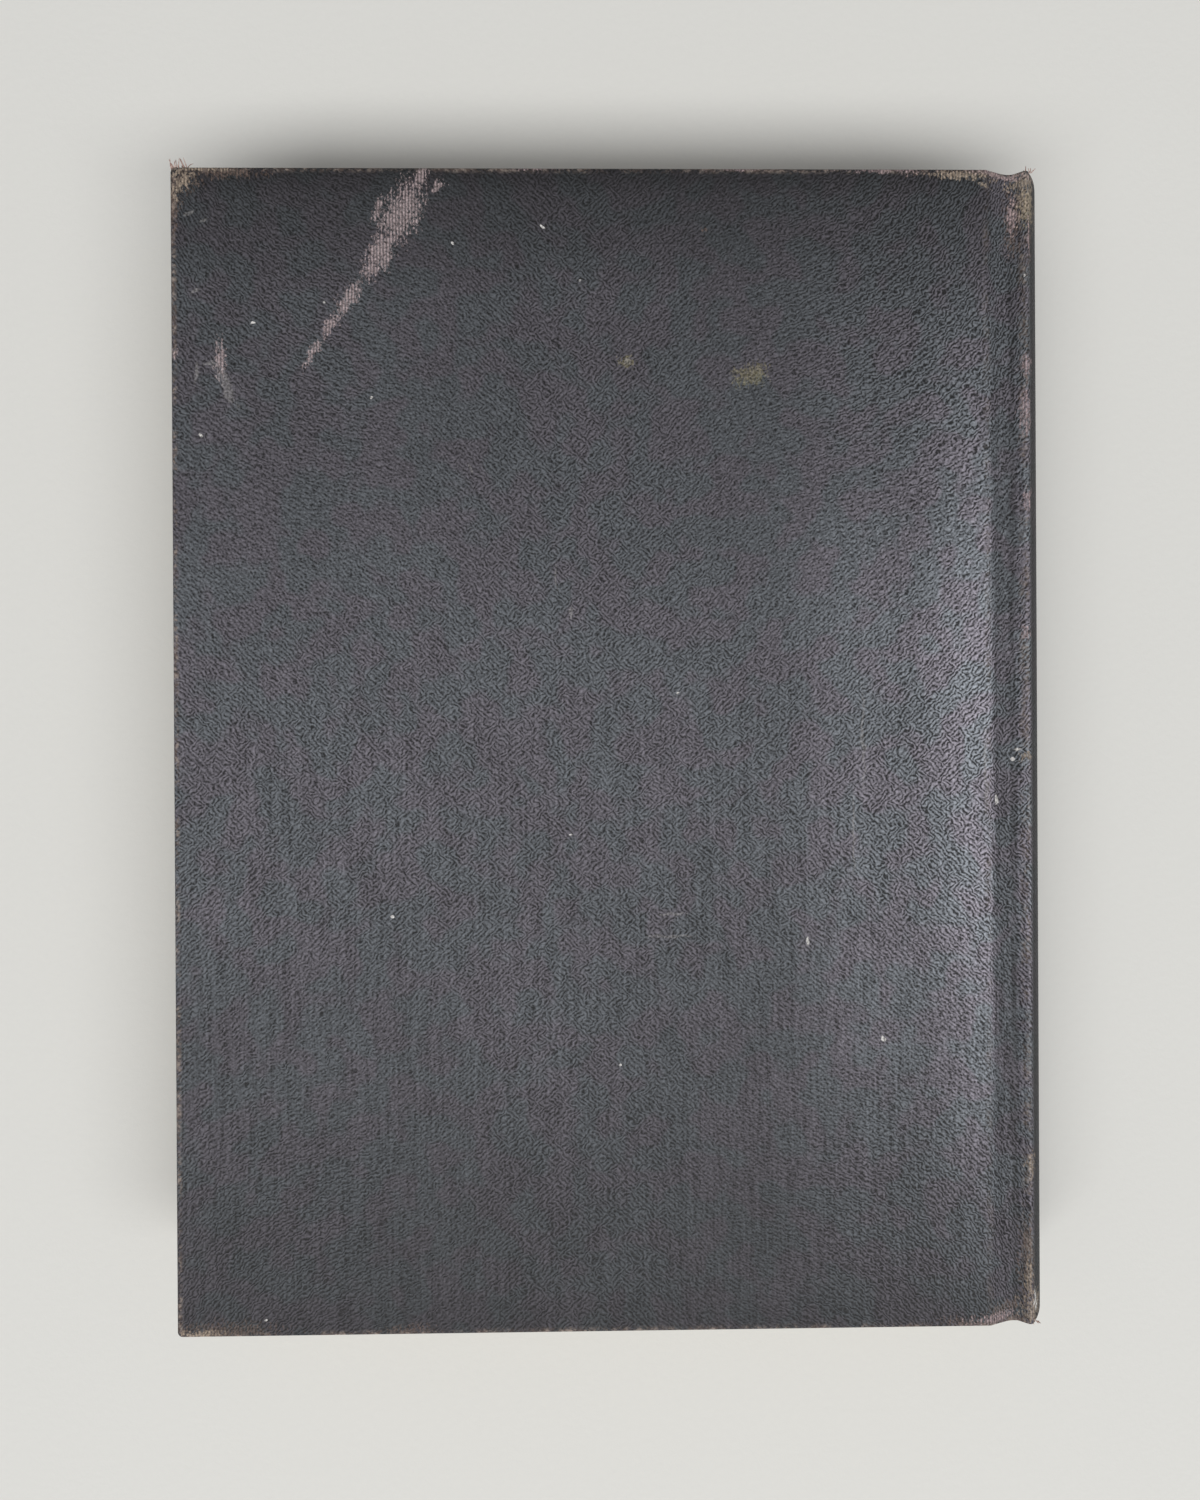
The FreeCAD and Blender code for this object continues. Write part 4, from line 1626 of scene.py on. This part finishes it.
@dataclass
class HardbackBook:
    """The whole book: case, endpapers, mull and pages."""

    bend_start: float = 0.3
    bend_end: float = -6.3
    bend_level: float = 0.8

    def bend(self, piece: bpy.types.Object, side: Side, slot: str) -> bpy.types.Object:
        """Bakes a sheet's place into its mesh. The ends of a bend are worked out, but the sheet is not bent.

        Args:
            piece: The sheet.
            side: Its cover.
            slot: Not used.

        Returns:
            The same sheet.
        """
        level = BOOK.half_thickness * (1 + side.value * self.bend_level)
        start = ((BOOK.shift + self.bend_start) * MM, 0.0, level * MM)
        end = ((BOOK.shift + self.bend_end) * MM, 0.0, level * MM)
        f"{side.label}_cover"
        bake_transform(piece)
        return piece

    @staticmethod
    def tufts() -> list[tuple[ThreadTuft, str]]:
        """Frayed spots at the head's fore-edge corner and at both caps.

        Returns:
            Each tuft with its body.
        """
        half, top = BOOK.half_height, BOOK.half_thickness
        corner = ThreadTuft(
            "corner_threads", centre=(BOOK.fore + 2.0, half - 0.5, top - 0.9), spread=(1.9, 0.45, 0.5),
            heading=(-0.4, 1.0, 0.15), count=20, length=(1.0, 3.0))
        head = ThreadTuft(
            "head_cap_threads", centre=(BOOK.shoulder_run, half - 0.5, top - 1.0), spread=(1.2, 0.3, 0.3),
            heading=(0.1, 1.0, 0.25), count=7, length=(0.6, 1.2), seed=5)
        tail = ThreadTuft(
            "tail_cap_threads", centre=(BOOK.shoulder_run + 1.0, 0.8 - half, top - 1.2),
            spread=(1.0, 0.3, 0.3), heading=(0.3, -1.0, 0.25), count=6, length=(0.5, 0.9), seed=6)
        return [(corner, "back_cover"), (head, "pages"), (tail, "pages")]

    @staticmethod
    def dress(piece: bpy.types.Object, material: bpy.types.Material) -> None:
        """Gives a piece its material."""
        piece.data.materials.clear()
        piece.data.materials.append(material)
        log.info("%s: %d faces", piece.name, len(piece.data.polygons))

    @staticmethod
    def part_zones(piece: bpy.types.Object, materials: list[bpy.types.Material]) -> None:
        """Gives the faces of each zone their own material.

        Args:
            piece: Cloth of one cover.
            materials: Materials of the zones, in their order, or just one.
        """
        if len(materials) == 1:
            return
        mesh = piece.data
        for material in materials[1:]:
            mesh.materials.append(material)
        places = np.empty(len(mesh.polygons) * 3, np.float32)
        mesh.polygons.foreach_get("center", places)
        places = places.reshape(-1, 3) / MM - np.array([BOOK.shift, 0.0, 0.0])
        numbers = np.select([zone.holds(places) for zone in ZONES], np.arange(len(ZONES)))
        mesh.polygons.foreach_set("material_index", numbers.astype(np.int32))

    def build(self) -> None:
        """Builds and dresses every piece."""
        zoned = [BookCloth(f"charcoal_book_cloth_{zone.name}", zone=zone) for zone in ZONES]
        cloth = {Side.BACK: [finish.material() for finish in zoned],
                 Side.FRONT: [BookCloth("charcoal_book_cloth_front").material()]}
        paper = AgedPaper().material()
        gauze = MullCloth().material()
        for side in Side:
            cover = f"{side.label}_cloth"
            case = CaseCloth(side).build()
            self.dress(case, cloth[side][0])
            self.part_zones(case, cloth[side])
            self.bend(case, side, "cover_cloth")
            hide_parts(cover, "spine_cloth")
            f"{side.label}_board"
            mull = MullSheet(side).build()
            self.dress(mull, gauze)
            self.bend(mull, side, "mull")
            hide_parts(f"{side.label}_mull_flange", "spine_mull")
            f"{side.label}_board"
            leaf = EndpaperLeaf(side)
            pasted = leaf.pasted()
            self.dress(pasted, paper)
            self.bend(pasted, side, "endpaper")
            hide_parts(f"{side.label}_pastedown")
            free = leaf.free()
            self.dress(free, paper)
            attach(free, "pages")
            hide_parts(f"{side.label}_flyleaf")
        thread = FrayedThread().material()
        for tuft, body in self.tufts():
            piece = tuft.build()
            self.dress(piece, thread)
            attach(piece, body)
        pages = Pages().build()
        self.dress(pages, PageEdges().material())
        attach(pages, "pages")
        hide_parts("text_block")
        card = Millboard().material()
        for node in ("back_board", "front_board", "spine_strip"):
            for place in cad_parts[node].material_slots:
                place.material = card


@dataclass
class Studio:
    """Pale floor, soft light and the camera nearly straight above the book."""

    lens: float = 28.8
    eye: tuple[float, float, float] = (-8.242, 0.685, 285.485)
    forward: tuple[float, float, float] = (0.0176, -0.00221, -0.99984)
    up: tuple[float, float, float] = (0.00565, 0.99998, -0.00211)
    floor: Colour = (0.70, 0.70, 0.68)
    half_floor: float = 3.0
    world: float = 0.31
    backdrop: float = 0.62
    key: float = 452.0
    key_size: tuple[float, float] = (11.0, 2.2)
    key_place: tuple[float, float, float] = (0.35, -3.55, 4.75)
    key_colour: Colour = (1.0, 0.99, 0.97)
    sensor: float = 36.0
    near_clip: float = 0.01
    floor_grain: tuple[float, float] = (0.985, 0.03)
    floor_bump: float = 0.05

    def build(self) -> None:
        """Adds everything."""
        self.lay_floor()
        self.light()
        self.aim()

    def lay_floor(self) -> None:
        """Large plain floor under the book, with a very fine grain."""
        e = self.half_floor
        mesh = bpy.data.meshes.new("floor")
        mesh.from_pydata([(-e, -e, 0), (e, -e, 0), (e, e, 0), (-e, e, 0)], [], [(0, 1, 2, 3)])
        floor = bpy.data.objects.new("floor", mesh)
        bpy.context.scene.collection.objects.link(floor)
        dye = Dye("pale_floor", roughness=0.75, specular=0.25)
        grain = dye.noise(dye.object_mm(), Pattern.FLOOR_GRAIN)
        least, more = self.floor_grain
        dye.colour(dye.scaled(self.floor, least + grain * more))
        dye.bump(grain, self.floor_bump)
        mesh.materials.append(dye.material)

    def light(self) -> None:
        """Even world light, paler where the camera or a gloss sees it, and one wide lamp beyond the tail."""
        world = bpy.data.worlds.new("soft_room")
        world.use_nodes = True
        tree = world.node_tree
        back = next(n for n in tree.nodes if n.bl_idname == "ShaderNodeBackground")
        back.inputs["Color"].default_value = (1.0, 1.0, 1.0, 1.0)
        seen = tree.nodes.new("ShaderNodeLightPath")
        strength = tree.nodes.new("ShaderNodeMapRange")
        strength.inputs["To Min"].default_value = self.world
        strength.inputs["To Max"].default_value = self.backdrop
        shown = seen.outputs["Is Camera Ray"]
        for kind in ("Is Glossy Ray", "Is Transmission Ray"):
            either = tree.nodes.new("ShaderNodeMath")
            either.operation = "MAXIMUM"
            tree.links.new(shown, either.inputs[0])
            tree.links.new(seen.outputs[kind], either.inputs[1])
            shown = either.outputs[0]
        tree.links.new(shown, strength.inputs["Value"])
        tree.links.new(strength.outputs["Result"], back.inputs["Strength"])
        bpy.context.scene.world = world
        lamp = bpy.data.lights.new("window", "AREA")
        lamp.shape = "RECTANGLE"
        lamp.size, lamp.size_y = self.key_size
        lamp.energy = self.key
        lamp.color = self.key_colour
        window = bpy.data.objects.new("window", lamp)
        place = Vector(self.key_place)
        window.location = place
        window.rotation_euler = (-place).to_track_quat("-Z", "Y").to_euler()
        bpy.context.scene.collection.objects.link(window)

    def aim(self) -> None:
        """Camera at the photograph's angle."""
        lens = bpy.data.cameras.new("camera")
        lens.sensor_fit = "VERTICAL"
        lens.sensor_height = self.sensor
        lens.sensor_width = self.sensor
        lens.lens = self.lens
        lens.clip_start = self.near_clip
        camera = bpy.data.objects.new("camera", lens)
        back = -Vector(self.forward).normalized()
        right = Vector(self.up).cross(back).normalized()
        up = back.cross(right)
        turn = Matrix((right, up, back)).transposed().to_4x4()
        camera.matrix_world = Matrix.Translation(Vector(self.eye) * MM) @ turn
        bpy.context.scene.collection.objects.link(camera)
        bpy.context.scene.camera = camera


def main() -> None:
    """Builds the book and the studio."""
    logging.basicConfig(level=logging.INFO, format="%(message)s")
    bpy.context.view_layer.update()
    HardbackBook().build()
    Studio().build()
    bpy.context.scene.view_settings.view_transform = "Standard"
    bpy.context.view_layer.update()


if __name__ == "__main__":
    main()
